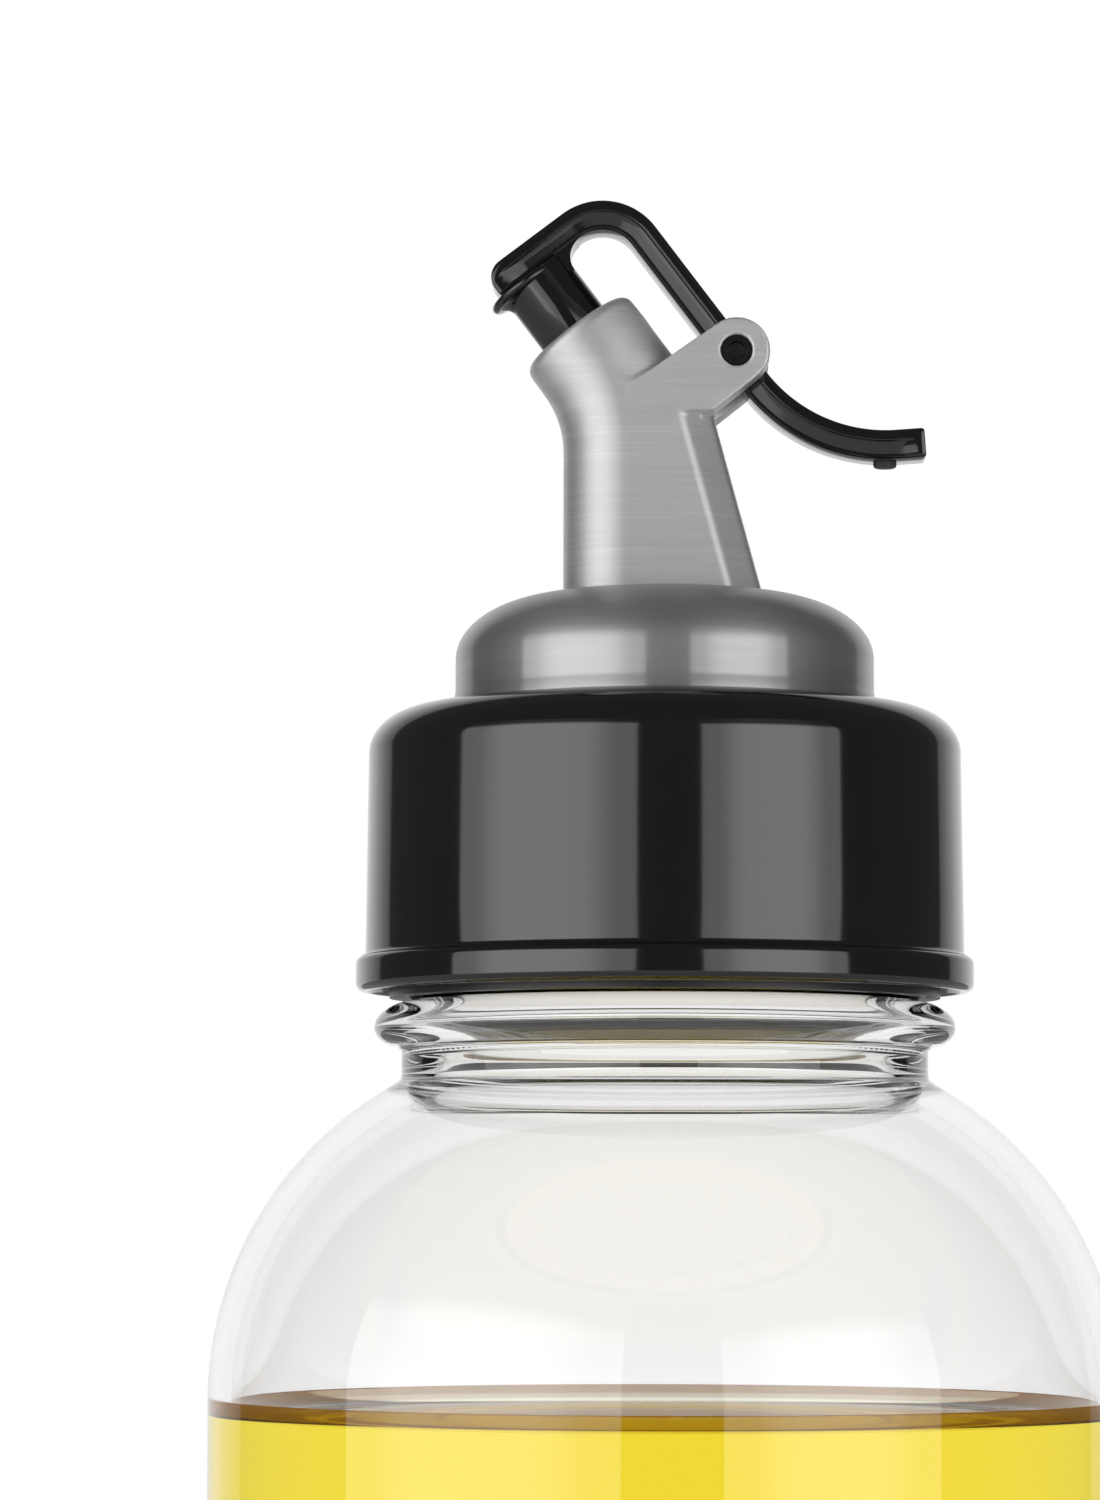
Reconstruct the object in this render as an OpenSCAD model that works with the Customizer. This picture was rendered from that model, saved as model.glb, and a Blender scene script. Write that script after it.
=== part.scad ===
// Glass oil bottle with a screw-on lever pourer.
// Millimetres, +Z up. The origin is the centre of the foot, the spout points to -X.

/* [Bottle] */
// Outside diameter of the glass body
body_d = 90.6; // [84:0.2:100]
// Height of the straight side, up to where the shoulder starts
body_h = 114.2; // [90:0.2:150]
// Radius of the round shoulder
shoulder_r = 35.8; // [32:0.2:38]
// Thickness of the body wall
body_wall = 2.35; // [1.8:0.05:3.4]
// Thickness of the glass under the oil, over the foot
base_t = 6.0; // [5:0.1:9]
// Rise of the push-up in the middle of the foot
punt_h = 2.4; // [1:0.1:3.5]
// Radius of the rounded heel
heel_r = 6.0; // [3:0.5:9]
// Outside diameter of the bare neck
neck_d = 52.5; // [51.5:0.1:54]
// Height of the bare neck under the bead
neck_h = 3.3; // [2:0.1:8]
// Thickness of the neck wall
neck_wall = 3.25; // [2.6:0.05:4]
// Outside diameter of the bead under the collar
bead_d = 58.0; // [56:0.1:60]
// Height of the bead
bead_h = 4.7; // [3.5:0.1:6]
// Height of the glass finish, from the bottom of the bead to the lip
finish_h = 28.9; // [27:0.1:36]
// Thickness of the glass finish's wall, under its thread
finish_wall = 3.3; // [2.4:0.1:4]

/* [Oil] */
// Level of the oil above the table
oil_level = 113.2; // [30:1:120]

/* [Thread] */
// Rise of the thread in one turn
thread_pitch = 6.0; // [5:0.1:6.6]
// Turns of each thread ridge
thread_turns = 1.7; // [1:0.1:2]
// How far each ridge stands out
thread_depth = 0.9; // [0.7:0.05:1.1]
// Width of a ridge at its root
thread_root_w = 2.4; // [2:0.1:2.6]
// Width of a ridge at its crest
thread_crest_w = 1.2; // [0.8:0.1:1.6]

/* [Collar] */
// Diameter of the collar's side at the top
collar_d = 59.3; // [57:0.1:62]
// Thickness of the collar's side at the top
collar_wall = 2.15; // [1.6:0.05:3]
// How much wider the collar's side is at its bottom than at its top
collar_draft = 0.5; // [0:0.1:1]
// Thickness of the collar's top
collar_top_t = 2.2; // [1.6:0.1:3]
// Width of the round edge of the collar's top
collar_round_w = 5.8; // [4:0.1:8]
// Height of the round edge of the collar's top
collar_round_h = 4.5; // [4:0.1:8]
// How far the flange stands out from the collar's side
rim_reach = 0.95; // [0.8:0.05:2.5]
// Height of the flange
rim_h = 3.5; // [2.5:0.1:5]
// Width of the flange's lip
rim_lip_w = 1.4; // [1:0.1:1.8]
// Thickness of the threaded ring's wall, between its threads
ring_wall = 2.1; // [1.6:0.1:3]
// How far the threaded ring reaches below the flange
ring_drop = 0.6; // [0.3:0.1:1.5]

/* [Pour insert] */
// Thickness of the gasket on the glass lip
gasket_t = 1.5; // [1:0.1:2.5]
// Thickness of the flange that the collar holds down
insert_flange_t = 1.2; // [1:0.1:2]
// Depth of the plug below the glass lip
plug_depth = 10.0; // [8:0.5:16]
// Thickness of the plug's wall
plug_wall = 3.0; // [2.4:0.1:4]
// Gap between the dome's side and the boss that stands through the collar
boss_gap = 1.2; // [0.6:0.1:3]
// Thickness of the boss's side
boss_wall = 1.6; // [1:0.1:3]
// Thickness of the boss's top, which the spout is clamped to
boss_top_t = 3.6; // [3:0.1:5]
// Thickness of the seal ring round the plug
seal_wire_d = 2.0; // [1.6:0.1:2.4]

/* [Dome] */
// Diameter of the steel dome
dome_d = 42.0; // [40:0.2:43]
// Height of the dome's straight side
dome_side_h = 4.8; // [2:0.1:6]
// Rise of the dome's round top over its side
dome_rise = 6.4; // [5:0.1:9]
// Radius of the flat that the spout stands on
dome_flat_r = 10.4; // [10.3:0.1:12]
// Thickness of the dome's sheet
dome_t = 0.8; // [0.6:0.05:1.2]

/* [Spout] */
// Outside diameter of the spout's tube
tube_d = 12.8; // [12.8:0.1:13.4]
// Outside diameter of the nozzle, a little less than the tube's
nozzle_d = 12.6; // [11.8:0.1:12.6]
// Bore of the nozzle
bore_d = 6.8; // [6:0.1:7]
// Bore of the tube
tube_bore_d = 7.1; // [6.6:0.1:7.2]
// Distance of the tube's axis from the bottle's axis
tube_x = 3.8; // [3.2:0.1:4]
// Height of the bend over the dome
elbow_h = 20.1; // [18:0.1:24]
// Length of the nozzle from the bend to its mouth
nozzle_len = 8.6; // [8:0.1:10]
// Lean of the nozzle to the left of upright, in degrees
nozzle_tilt = 37; // [34:1:40]
// Radius of the rounded mouth edge
mouth_round = 0.9; // [0.4:0.1:1.1]
// Reach of the stem to the right at its foot
stem_reach = 9.8; // [8.5:0.05:9.85]
// Lean of the stem's right edge from upright, in degrees
stem_lean = 15.2; // [12:0.2:17]
// Radius of the stem's right-hand corners
stem_corner_r = 3.75; // [2.5:0.05:4.5]
// Radius of the yoke's round end
yoke_r = 3.35; // [3.2:0.05:4]
// Slope of the yoke's upper edge, in degrees
yoke_top_slope = 35; // [30:1:38]
// Slope of the yoke's lower edge, in degrees
yoke_under_slope = 38.4; // [36:0.2:44]
// Diameter of the threaded spigot under the spout
spigot_d = 10.0; // [9.4:0.1:10.6]
// Thickness of the nut that holds the spout
nut_t = 3.5; // [2.5:0.1:4.5]
// Width of the nut across its flats
nut_flats = 14.0; // [13:0.5:15]
// Outside diameter of the seat sleeve in the mouth
seat_d = 10.0; // [9.6:0.1:10.2]
// Length of the seat sleeve
seat_len = 5.0; // [4:0.1:6]

/* [Lever] */
// Distance of the pivot from the bottle's axis
pivot_x = 7.2; // [6.8:0.1:7.6]
// Height of the pivot over the dome
pivot_h = 24.1; // [23:0.1:25]
// Width of the lever, front to back
lever_w = 5.0; // [4.6:0.1:5.4]
// Thickness of the lever's strap
lever_t = 3.0; // [2.6:0.1:3.2]
// Length of the straight arm from the pivot to the bend
arm_len = 15.5; // [15:0.1:17]
// Radius of the bend, at the middle of the strap
bend_r = 5.2; // [4.8:0.1:5.6]
// Length of the straight nose over the stopper
nose_len = 10.0; // [9.5:0.1:11]
// Length of the straight piece behind the pivot
tail_root = 3.0; // [2:0.1:4]
// Radius of the curved tail, at the middle of the strap
tail_r = 16.5; // [15:0.1:18]
// Angle at which the tail ends above level, in degrees
tail_rise = 4; // [0:1:6]
// Length of the straight end of the tail
tail_end = 2.85; // [2:0.05:4]
// Radius of the hub round the pin
hub_r = 3.1; // [3:0.05:3.15]
// Width of the raised border on the lever's sides
border_w = 0.7; // [0.5:0.05:0.9]
// Depth of the sunk middle of the lever's sides
sink_t = 0.5; // [0.3:0.05:0.7]
// How far the lever opens, in degrees
open_angle = 42; // [30:1:42]
// Diameter of the pivot pin
pin_d = 3.1; // [2.8:0.05:3.1]
// How far each end of the pin lies below the yoke's face
pin_sink = 0.3; // [0.1:0.05:0.6]
// Diameter of the dimple in each end of the pin
pin_dimple_d = 1.7; // [1:0.1:2]
// Diameter of the spring's wire
spring_wire_d = 0.5; // [0.4:0.05:0.5]
// Turns of the spring
spring_turns = 3; // [2:1:3]

/* [Stopper] */
// Diameter of the stopper
stopper_d = 7.6; // [7.2:0.1:8]
// Thickness of the soft pad on the stopper's end
pad_t = 0.9; // [0.6:0.1:1.5]
// Diameter of the studs that hold the stopper and its pad
stud_d = 2.4; // [2:0.1:2.8]
// Length of those studs
stud_len = 1.8; // [1.2:0.1:2]
// Diameter of the bumper under the tail
bumper_d = 2.4; // [2:0.1:3]
// How far the bumper stands out
bumper_h = 0.9; // [0.6:0.1:1.2]

/* [Fits] */
// Radial gap of a pressed or glued joint
fit_press = 0.02; // [0.01:0.01:0.05]
// Radial gap of the pin in the lever
fit_run = 0.05; // [0.03:0.01:0.08]
// Gap between faces that slide past each other
fit_slide = 0.2; // [0.1:0.05:0.25]
// Gap round soft pieces
fit_soft = 0.3; // [0.25:0.05:0.4]

/* [Hidden] */
$fn = 96;
eps = 0.01;
far = 100;

// Collar's side, the ring in it and the glass finish in the ring, from the outside in
collar_r = collar_d / 2;
rim_r = collar_r + collar_draft / 2 + rim_reach;
ring_r = collar_r - collar_wall;
ring_bore_r = ring_r - ring_wall;
finish_r = ring_bore_r - fit_soft - thread_depth;
finish_bore_r = finish_r - finish_wall;

// Bottle, from the table up
body_r = body_d / 2;
neck_r = neck_d / 2;
bead_r = bead_d / 2;
shoulder_x = body_r - shoulder_r;
neck_z = body_h + sqrt(pow(shoulder_r, 2) - pow(neck_r - shoulder_x, 2));
bead_z = neck_z + neck_h;
bead_peak_z = bead_z + bead_h * 0.42;
lip_z = bead_z + finish_h;
lip_round = 0.8;
inner_r = body_r - body_wall;
inner_shoulder_r = shoulder_r - body_wall;
neck_bore_r = neck_r - neck_wall;
foot_r = body_r - heel_r;
foot_w = 5;
inner_heel_r = heel_r;
oil_skin = 0.02;

// Thread of the glass finish and of the ring that turns on it
thread_z = bead_z + bead_h + 6.6;
thread_bite = 0.5;
thread_flank_gap = 0.25;
thread_steps = 32;
thread_taper = 5;

// Stack over the glass lip
flange_z = lip_z + gasket_t;
plate_z = flange_z + insert_flange_t + fit_slide / 2;
collar_top_z = plate_z + collar_top_t;
dome_z = collar_top_z + fit_slide;
dome_bend_z = dome_z + dome_side_h;
dome_top_z = dome_bend_z + dome_rise;

// Collar's foot
rim_z = bead_z + bead_h + 0.8;
rim_groove_h = 2.4;

// Dome
dome_r = dome_d / 2;

// Insert
flange_r = finish_r - 0.2;
plug_r = finish_bore_r - fit_soft - 0.2;
plug_z = lip_z - plug_depth;
cavity_r = plug_r - plug_wall;
cavity_top_z = dome_top_z - dome_t - boss_top_t;
boss_r = dome_r - dome_t - boss_gap;
boss_cavity_r = boss_r - boss_wall;
cavity_top_r = boss_cavity_r - 4.4;
boss_shoulder_z = dome_bend_z + 0.6;
boss_pad_r = dome_flat_r - 0.4;
seal_z = plug_z + 3.4;
seal_groove_w = seal_wire_d + 0.2;
seal_r = finish_bore_r - fit_soft - seal_wire_d / 2;

// Spout. u runs along the nozzle, away from the bend; n points across it, up and to the right.
tube_r = tube_d / 2;
nozzle_r = nozzle_d / 2;
bore_r = bore_d / 2;
tube_bore_r = tube_bore_d / 2;
mitre = 1.5;
bore_mitre = 0.8;
elbow = [-tube_x, dome_top_z + elbow_h];
u_dir = [-sin(nozzle_tilt), cos(nozzle_tilt)];
n_dir = [cos(nozzle_tilt), sin(nozzle_tilt)];
mouth = elbow + nozzle_len * u_dir;
pivot = [pivot_x, dome_top_z + pivot_h];
spigot_r = spigot_d / 2;
spigot_len = dome_t + boss_top_t + nut_t + 1.2;
nut_z = cavity_top_z - nut_t;
seat_r = seat_d / 2;
lean_tan = tan(stem_lean);
yoke_top = pivot + yoke_r * [-sin(yoke_top_slope), cos(yoke_top_slope)];
yoke_under = pivot + yoke_r * [sin(yoke_under_slope), -cos(yoke_under_slope)];
under_dir = [cos(yoke_under_slope), sin(yoke_under_slope)];
under_len = (yoke_under[0] - stem_reach + (yoke_under[1] - dome_top_z) * lean_tan)
    / (under_dir[0] + under_dir[1] * lean_tan);
crook = yoke_under - under_len * under_dir;
top_run = (yoke_top[0] + tube_x) / cos(yoke_top_slope);
saddle = yoke_top - top_run * [cos(yoke_top_slope), sin(yoke_top_slope)];
slot_w = lever_w + 2 * fit_slide;
groove_t = 0.7;
groove_len = 8;
plate_w = tube_d - 0.1;
stem_plan_w = 9;
pin_r = pin_d / 2;

// Lever. Headings are measured from +X, and "left" of a heading is its upper side.
arm_heading = nozzle_tilt - 90;
function heading(a) = [cos(a), sin(a)];
function left(a) = [-sin(a), cos(a)];
bend_c = pivot - arm_len * heading(arm_heading) - bend_r * left(arm_heading);
tail_c = pivot + tail_root * heading(arm_heading) + tail_r * left(arm_heading);
nose_root = bend_c + bend_r * left(nozzle_tilt);
nose_end = nose_root - nose_len * heading(nozzle_tilt);
tail_tip = tail_c - tail_r * left(tail_rise) + tail_end * heading(tail_rise);
tail_low_z = tail_c[1] - tail_r - lever_t / 2;
nose_u = (nose_root - mouth) * u_dir;
nose_under_u = nose_u - lever_t / 2;
arc_steps = 12;
tip_round = 2.0;

// Stopper
stopper_r = stopper_d / 2;
stud_r = stud_d / 2;
pad_gap = 0.05;
bumper_r = bumper_d / 2;
bumper_seat = 0.3;
pin_dimple_t = 1.2;

// Spring
coil_r = pin_r + fit_slide + spring_wire_d / 2 + 0.05;
coil_rise = spring_wire_d + 0.05;
coil_len = spring_turns * coil_rise;
pocket_r = coil_r + spring_wire_d / 2 + 0.2;
pocket_depth = coil_len + spring_wire_d + 0.25;
coil_steps = 16;
wire_sides = 8;

// Quarter ellipse about c, from angle a0 to a1
function ellipse_arc(c, rx, ry, a0, a1, steps) =
    [for (i = [0:steps]) let (a = a0 + (a1 - a0) * i / steps) [c[0] + rx * cos(a), c[1] + ry * sin(a)]];
function round_arc(c, r, a0, a1, steps) = ellipse_arc(c, r, r, a0, a1, steps);
function reverse(v) = [for (i = [len(v) - 1:-1:0]) v[i]];

// Extrudes a drawing of the X-Z plane by w, front to back
module side_plate(w) {
    rotate([90, 0, 0]) linear_extrude(height = w, center = true) children();
}

// Places children drawn about +Z on the nozzle's axis, with z = 0 at the mouth
module at_mouth() {
    translate([mouth[0], 0, mouth[1]]) rotate([0, -nozzle_tilt, 0]) children();
}

// Places children drawn about +Z on the pin's axis, with z = 0 in the middle and +z to the back
module at_pivot() {
    translate([pivot[0], 0, pivot[1]]) rotate([-90, 0, 0]) children();
}

// Solid swept along sections, each a ring of points
module skin(sections) {
    sides = len(sections[0]);
    last = len(sections) - 1;
    points = [for (s = sections) each s];
    walls = [for (i = [0:last - 1], j = [0:sides - 1])
        let (k = (j + 1) % sides)
        [i * sides + j, i * sides + k, (i + 1) * sides + k, (i + 1) * sides + j]];
    first_cap = [for (j = [sides - 1:-1:0]) j];
    last_cap = [for (j = [0:sides - 1]) last * sides + j];
    polyhedron(points, concat(walls, [first_cap, last_cap]), convexity = 8);
}

// Helical ridge. It stands out of root_r by depth, or into it where depth is negative.
module thread_ridge(root_r, depth, start_z) {
    count = ceil(thread_turns * thread_steps);
    sign = depth > 0 ? 1 : -1;
    foot = root_r - sign * thread_bite;
    skin([for (i = [0:count])
        let (
            a = 360 * thread_turns * i / count,
            z = start_z + thread_pitch * thread_turns * i / count,
            grow = min(1, (i + 0.4) / thread_taper, (count - i + 0.4) / thread_taper),
            crest = root_r + depth * grow,
            half_root = thread_root_w / 2,
            half_crest = half_root + (thread_crest_w / 2 - half_root) * grow,
            ring = [[foot, z - half_root], [crest, z - half_crest],
                [crest, z + half_crest], [foot, z + half_root]]
        )
        [for (p = sign > 0 ? ring : reverse(ring)) [p[0] * cos(a), p[0] * sin(a), p[1]]]]);
}

module glass_bottle() {
    outline = concat(
        [[0, punt_h], [foot_r - foot_w, punt_h * 0.55], [foot_r - foot_w * 0.4, 0], [foot_r, 0]],
        round_arc([foot_r, heel_r], heel_r, -80, 0, 8),
        round_arc([shoulder_x, body_h], shoulder_r, 0, acos((neck_r - shoulder_x) / shoulder_r), 20),
        [[neck_r, bead_z]],
        ellipse_arc([neck_r, bead_peak_z], bead_r - neck_r, bead_peak_z - bead_z, -80, 0, 6),
        ellipse_arc([finish_r, bead_peak_z], bead_r - finish_r, bead_z + bead_h - bead_peak_z, 10, 90, 7),
        [[finish_r, lip_z - lip_round]],
        round_arc([finish_r - lip_round, lip_z - lip_round], lip_round, 20, 90, 4),
        round_arc([finish_bore_r + lip_round, lip_z - lip_round], lip_round, 90, 180, 4),
        [[finish_bore_r, bead_z + bead_h], [neck_bore_r, bead_z]],
        reverse(round_arc([shoulder_x, body_h], inner_shoulder_r, 0,
            acos((neck_bore_r - shoulder_x) / inner_shoulder_r), 20)),
        round_arc([inner_r - inner_heel_r, base_t + inner_heel_r], inner_heel_r, 0, -90, 8),
        [[0, base_t + punt_h]]
    );
    color([0.86, 0.93, 0.90, 0.35]) {
        rotate_extrude() polygon(outline);
        thread_ridge(finish_r, thread_depth, thread_z);
    }
}

module oil_fill() {
    r = inner_r - oil_skin;
    outline = concat(
        [[0, base_t + punt_h + oil_skin]],
        round_arc([inner_r - inner_heel_r, base_t + inner_heel_r], inner_heel_r - oil_skin, -90, 0, 8),
        [[r, min(oil_level, body_h)]],
        oil_level > body_h
            ? [[shoulder_x + sqrt(pow(inner_shoulder_r - oil_skin, 2) - pow(oil_level - body_h, 2)),
                oil_level]]
            : [],
        [[0, oil_level]]
    );
    color([0.93, 0.82, 0.25, 0.8]) rotate_extrude() polygon(outline);
}

module neck_gasket() {
    color([0.75, 0.75, 0.73]) translate([0, 0, lip_z]) difference() {
        cylinder(r = flange_r, h = gasket_t);
        translate([0, 0, -1]) cylinder(r = plug_r + fit_press, h = gasket_t + 2);
    }
}

module collar_shell() {
    side_top_z = collar_top_z - collar_round_h;
    foot_r2 = collar_r + collar_draft / 2;
    rim_round = 0.9;
    outline = concat(
        [[ring_r + fit_press, rim_z + rim_groove_h], [rim_r - rim_lip_w, rim_z + rim_groove_h],
         [rim_r - rim_lip_w, rim_z]],
        round_arc([rim_r - rim_round, rim_z + rim_round], rim_round, -80, 0, 4),
        round_arc([rim_r - rim_round, rim_z + rim_h - rim_round], rim_round, 0, 80, 4),
        [[foot_r2, rim_z + rim_h]],
        ellipse_arc([collar_r - collar_round_w, side_top_z], collar_round_w, collar_round_h, 0, 90, 12),
        [[boss_r + fit_slide, collar_top_z], [boss_r + fit_slide, plate_z], [ring_r + fit_press, plate_z]]
    );
    color([0.04, 0.04, 0.045]) rotate_extrude() polygon(outline);
}

module thread_ring() {
    color([0.05, 0.05, 0.055]) {
        translate([0, 0, rim_z - ring_drop]) difference() {
            cylinder(r = ring_r, h = plate_z - rim_z + ring_drop);
            translate([0, 0, -1]) cylinder(r = ring_bore_r, h = far);
        }
        thread_ridge(ring_bore_r, -thread_depth,
            thread_z - (thread_root_w + thread_crest_w) / 2 - thread_flank_gap);
    }
}

module pour_insert() {
    shell = [
        [0, plug_z], [plug_r, plug_z], [plug_r, flange_z], [flange_r, flange_z],
        [flange_r, flange_z + insert_flange_t], [boss_r, flange_z + insert_flange_t],
        [boss_r, boss_shoulder_z], [boss_pad_r, dome_top_z - dome_t], [0, dome_top_z - dome_t]
    ];
    cavity = [
        [0, plug_z - 1], [cavity_r, plug_z - 1], [cavity_r, lip_z - 1], [boss_cavity_r, lip_z + 1],
        [boss_cavity_r, cavity_top_z - 3], [cavity_top_r, cavity_top_z], [0, cavity_top_z]
    ];
    color([0.10, 0.10, 0.11]) difference() {
        rotate_extrude() polygon(shell);
        rotate_extrude() polygon(cavity);
        rotate_extrude() translate([seal_r - seal_wire_d / 2 - fit_press, seal_z - seal_groove_w / 2])
            square([seal_wire_d, seal_groove_w]);
        translate([-tube_x, 0, cavity_top_z - 1]) cylinder(r = spigot_r + fit_press, h = boss_top_t + 2);
    }
}

module plug_seal() {
    color([0.55, 0.12, 0.08]) translate([0, 0, seal_z]) rotate_extrude()
        translate([seal_r, 0]) circle(d = seal_wire_d, $fn = 32);
}

module dome_cover() {
    outline = concat(
        [[dome_r - dome_t, dome_z], [dome_r, dome_z]],
        ellipse_arc([dome_flat_r, dome_bend_z], dome_r - dome_flat_r, dome_rise, 0, 90, 14),
        [[0, dome_top_z], [0, dome_top_z - dome_t]],
        reverse(ellipse_arc([dome_flat_r, dome_bend_z], dome_r - dome_flat_r - dome_t,
            dome_rise - dome_t, 0, 90, 14))
    );
    color([0.72, 0.72, 0.73]) difference() {
        rotate_extrude() polygon(outline);
        translate([-tube_x, 0, dome_top_z - dome_t - 1]) cylinder(r = spigot_r + fit_press, h = dome_t + 2);
    }
}

// Side outline of the stem and yoke, with its right edge drawn in by inset
module stem_outline(inset) {
    across = inset / cos(stem_lean);
    polygon([[-tube_x, dome_top_z], [stem_reach - across, dome_top_z], crook - [across, 0], saddle]);
}

// Plan of the stem's right half: a plate with round right-hand corners, its right edge at x = 0
module stem_plan() {
    corner_y = tube_r - stem_corner_r;
    polygon(concat(
        [[-stem_plan_w, tube_r], [-stem_plan_w, -tube_r]],
        round_arc([-stem_corner_r, -corner_y], stem_corner_r, -90, 0, 8),
        round_arc([-stem_corner_r, corner_y], stem_corner_r, 0, 90, 8)
    ));
}

module yoke_outline() {
    polygon([saddle, crook - [stem_corner_r + 1, 0], crook, yoke_under, pivot, yoke_top]);
    translate(pivot) circle(r = yoke_r);
}

// Room for the lever between the yoke's cheeks, from closed to open
module slot_outline() {
    reach = lever_t / 2 + fit_slide + 0.2;
    closed = arm_heading + 180;
    opened = arm_heading - open_angle;
    translate(pivot) {
        circle(r = hub_r + fit_slide);
        rotate(closed) translate([0, -far]) square([far, far + reach]);
        rotate(opened) translate([0, -reach]) square([7, far]);
    }
    polygon([[stem_reach - groove_t - groove_len * lean_tan, dome_top_z + groove_len], crook - [groove_t, 0],
        crook + [far, 0], [far, dome_top_z + groove_len]]);
}

module spout_body() {
    nozzle = concat(
        [[0, -nozzle_len - mitre], [nozzle_r, -nozzle_len - mitre]],
        round_arc([nozzle_r - mouth_round, -mouth_round], mouth_round, 0, 90, 6),
        [[0, 0]]
    );
    color([0.68, 0.68, 0.69]) difference() {
        union() {
            translate([-tube_x, 0, dome_top_z]) cylinder(r = tube_r, h = elbow_h + mitre);
            at_mouth() rotate_extrude() polygon(nozzle);
            side_plate(plate_w) stem_outline(stem_corner_r);
            side_plate(plate_w) yoke_outline();
            intersection() {
                translate([stem_reach, 0, dome_top_z]) rotate([0, -stem_lean, 0]) translate([0, 0, -3])
                    linear_extrude(height = 3 + (crook[1] - dome_top_z) / cos(stem_lean) + 1.5) stem_plan();
                translate([-far / 2, -far / 2, dome_top_z]) cube([far, far, far]);
            }
            translate([-tube_x, 0, dome_top_z - spigot_len]) cylinder(r = spigot_r, h = spigot_len + 1);
        }
        translate([-tube_x, 0, dome_top_z - spigot_len - 1])
            cylinder(r = tube_bore_r, h = spigot_len + 1 + elbow_h + bore_mitre);
        at_mouth() translate([0, 0, -nozzle_len - bore_mitre])
            cylinder(r = bore_r, h = nozzle_len + bore_mitre + 1);
        at_mouth() translate([0, 0, -seat_len]) cylinder(r = seat_r + fit_press, h = seat_len + 1);
        side_plate(slot_w) slot_outline();
        at_pivot() cylinder(r = pin_r + fit_press, h = tube_d + 2, center = true);
    }
}

module spout_nut() {
    color([0.60, 0.60, 0.61]) translate([-tube_x, 0, nut_z]) difference() {
        cylinder(r = nut_flats / 2 / cos(30), h = nut_t, $fn = 6);
        translate([0, 0, -1]) cylinder(r = spigot_r + fit_press, h = nut_t + 2);
    }
}

module mouth_seat() {
    color([0.12, 0.12, 0.13]) at_mouth() translate([0, 0, -seat_len]) difference() {
        cylinder(r = seat_r, h = seat_len);
        translate([0, 0, -1]) cylinder(r = bore_r, h = seat_len + 2);
    }
}

// One side of the lever's strap, off from its middle; trim shortens both ends
function strap_side(off, trim) = concat(
    [nose_end + trim * heading(nozzle_tilt) + off * left(nozzle_tilt)],
    [for (i = [0:arc_steps]) let (a = nozzle_tilt - 90 * i / arc_steps) bend_c + (bend_r + off) * left(a)],
    [for (i = [0:arc_steps]) let (a = arm_heading + (tail_rise - arm_heading) * i / arc_steps)
        tail_c - (tail_r - off) * left(a)],
    [tail_tip - trim * heading(tail_rise) + off * left(tail_rise)]
);

module strap_outline(half, trim) {
    polygon(concat(strap_side(half, trim), reverse(strap_side(-half, trim))));
}

// Lip at the nose's lower corner, drawn in the nozzle's own directions
module lip_outline() {
    under = lever_t / 2;
    function place(n, u) = nose_end + n * n_dir + u * u_dir;
    polygon([
        place(0.6, 0.4), place(-0.5, 0.4), place(-1.1, 0), place(-1.4, -0.7),
        place(-1.3, -under), place(-0.7, -under - 0.6), place(0.1, -under - 0.5),
        place(0.1, -under + 0.2), place(0.6, -under + 0.2)
    ]);
}

module lever_arm() {
    sunk = lever_t / 2 - border_w;
    corner = nose_end + lever_t / 2 * u_dir;
    color([0.035, 0.035, 0.04]) difference() {
        union() {
            side_plate(lever_w) strap_outline(lever_t / 2, 0);
            side_plate(lever_w) lip_outline();
            at_pivot() cylinder(r = hub_r, h = lever_w, center = true);
        }
        for (y = [-1, 1])
            translate([0, y * (lever_w / 2 - sink_t / 2), 0]) side_plate(sink_t + eps) difference() {
                strap_outline(sunk, 1.2);
                translate(pivot) circle(r = hub_r + 0.6);
            }
        side_plate(lever_w + 1) difference() {
            translate(corner) rotate(nozzle_tilt) translate([-1, -tip_round]) square(tip_round + 1);
            translate(corner + tip_round * (n_dir - u_dir)) circle(r = tip_round);
        }
        at_pivot() cylinder(r = pin_r + fit_run, h = lever_w + 2, center = true);
        at_pivot() translate([0, 0, -lever_w / 2 - 1]) cylinder(r = pocket_r, h = pocket_depth + 1);
        at_mouth() translate([0, 0, nose_under_u - 1]) cylinder(r = stud_r + fit_press, h = stud_len + 1.2);
        translate([tail_c[0], 0, tail_low_z - 1]) cylinder(r = bumper_r + fit_press, h = 1 + bumper_seat);
    }
}

module lever_pin() {
    length = tube_d - 2 * pin_sink;
    color([0.10, 0.10, 0.11]) at_pivot() difference() {
        cylinder(r = pin_r, h = length, center = true);
        for (s = [-1, 1])
            translate([0, 0, s * length / 2]) cylinder(d = pin_dimple_d, h = pin_dimple_t, center = true);
    }
}

// Coil round the pin, in the pocket in the hub
module lever_spring() {
    wire_r = spring_wire_d / 2;
    start = -lever_w / 2 + wire_r + 0.1;
    count = spring_turns * coil_steps;
    color([0.62, 0.62, 0.64]) at_pivot() skin([for (i = [0:count])
        let (a = 360 * i / coil_steps, z = start + coil_rise * i / coil_steps)
        [for (j = [0:wire_sides - 1])
            let (b = 360 * j / wire_sides, r = coil_r + wire_r * cos(b))
            [r * cos(a), r * sin(a), z + wire_r * sin(b)]]]);
}

module stopper_plug() {
    outline = [
        [0, pad_gap + pad_t], [stopper_r, pad_gap + pad_t], [stopper_r, nose_under_u - 0.6],
        [stopper_r - 0.5, nose_under_u], [stud_r, nose_under_u],
        [stud_r, nose_under_u + stud_len], [0, nose_under_u + stud_len]
    ];
    color([0.03, 0.03, 0.035]) at_mouth() difference() {
        rotate_extrude() polygon(outline);
        translate([0, 0, pad_gap + pad_t - 1]) cylinder(r = stud_r + fit_press, h = stud_len + 1.2);
    }
}

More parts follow.
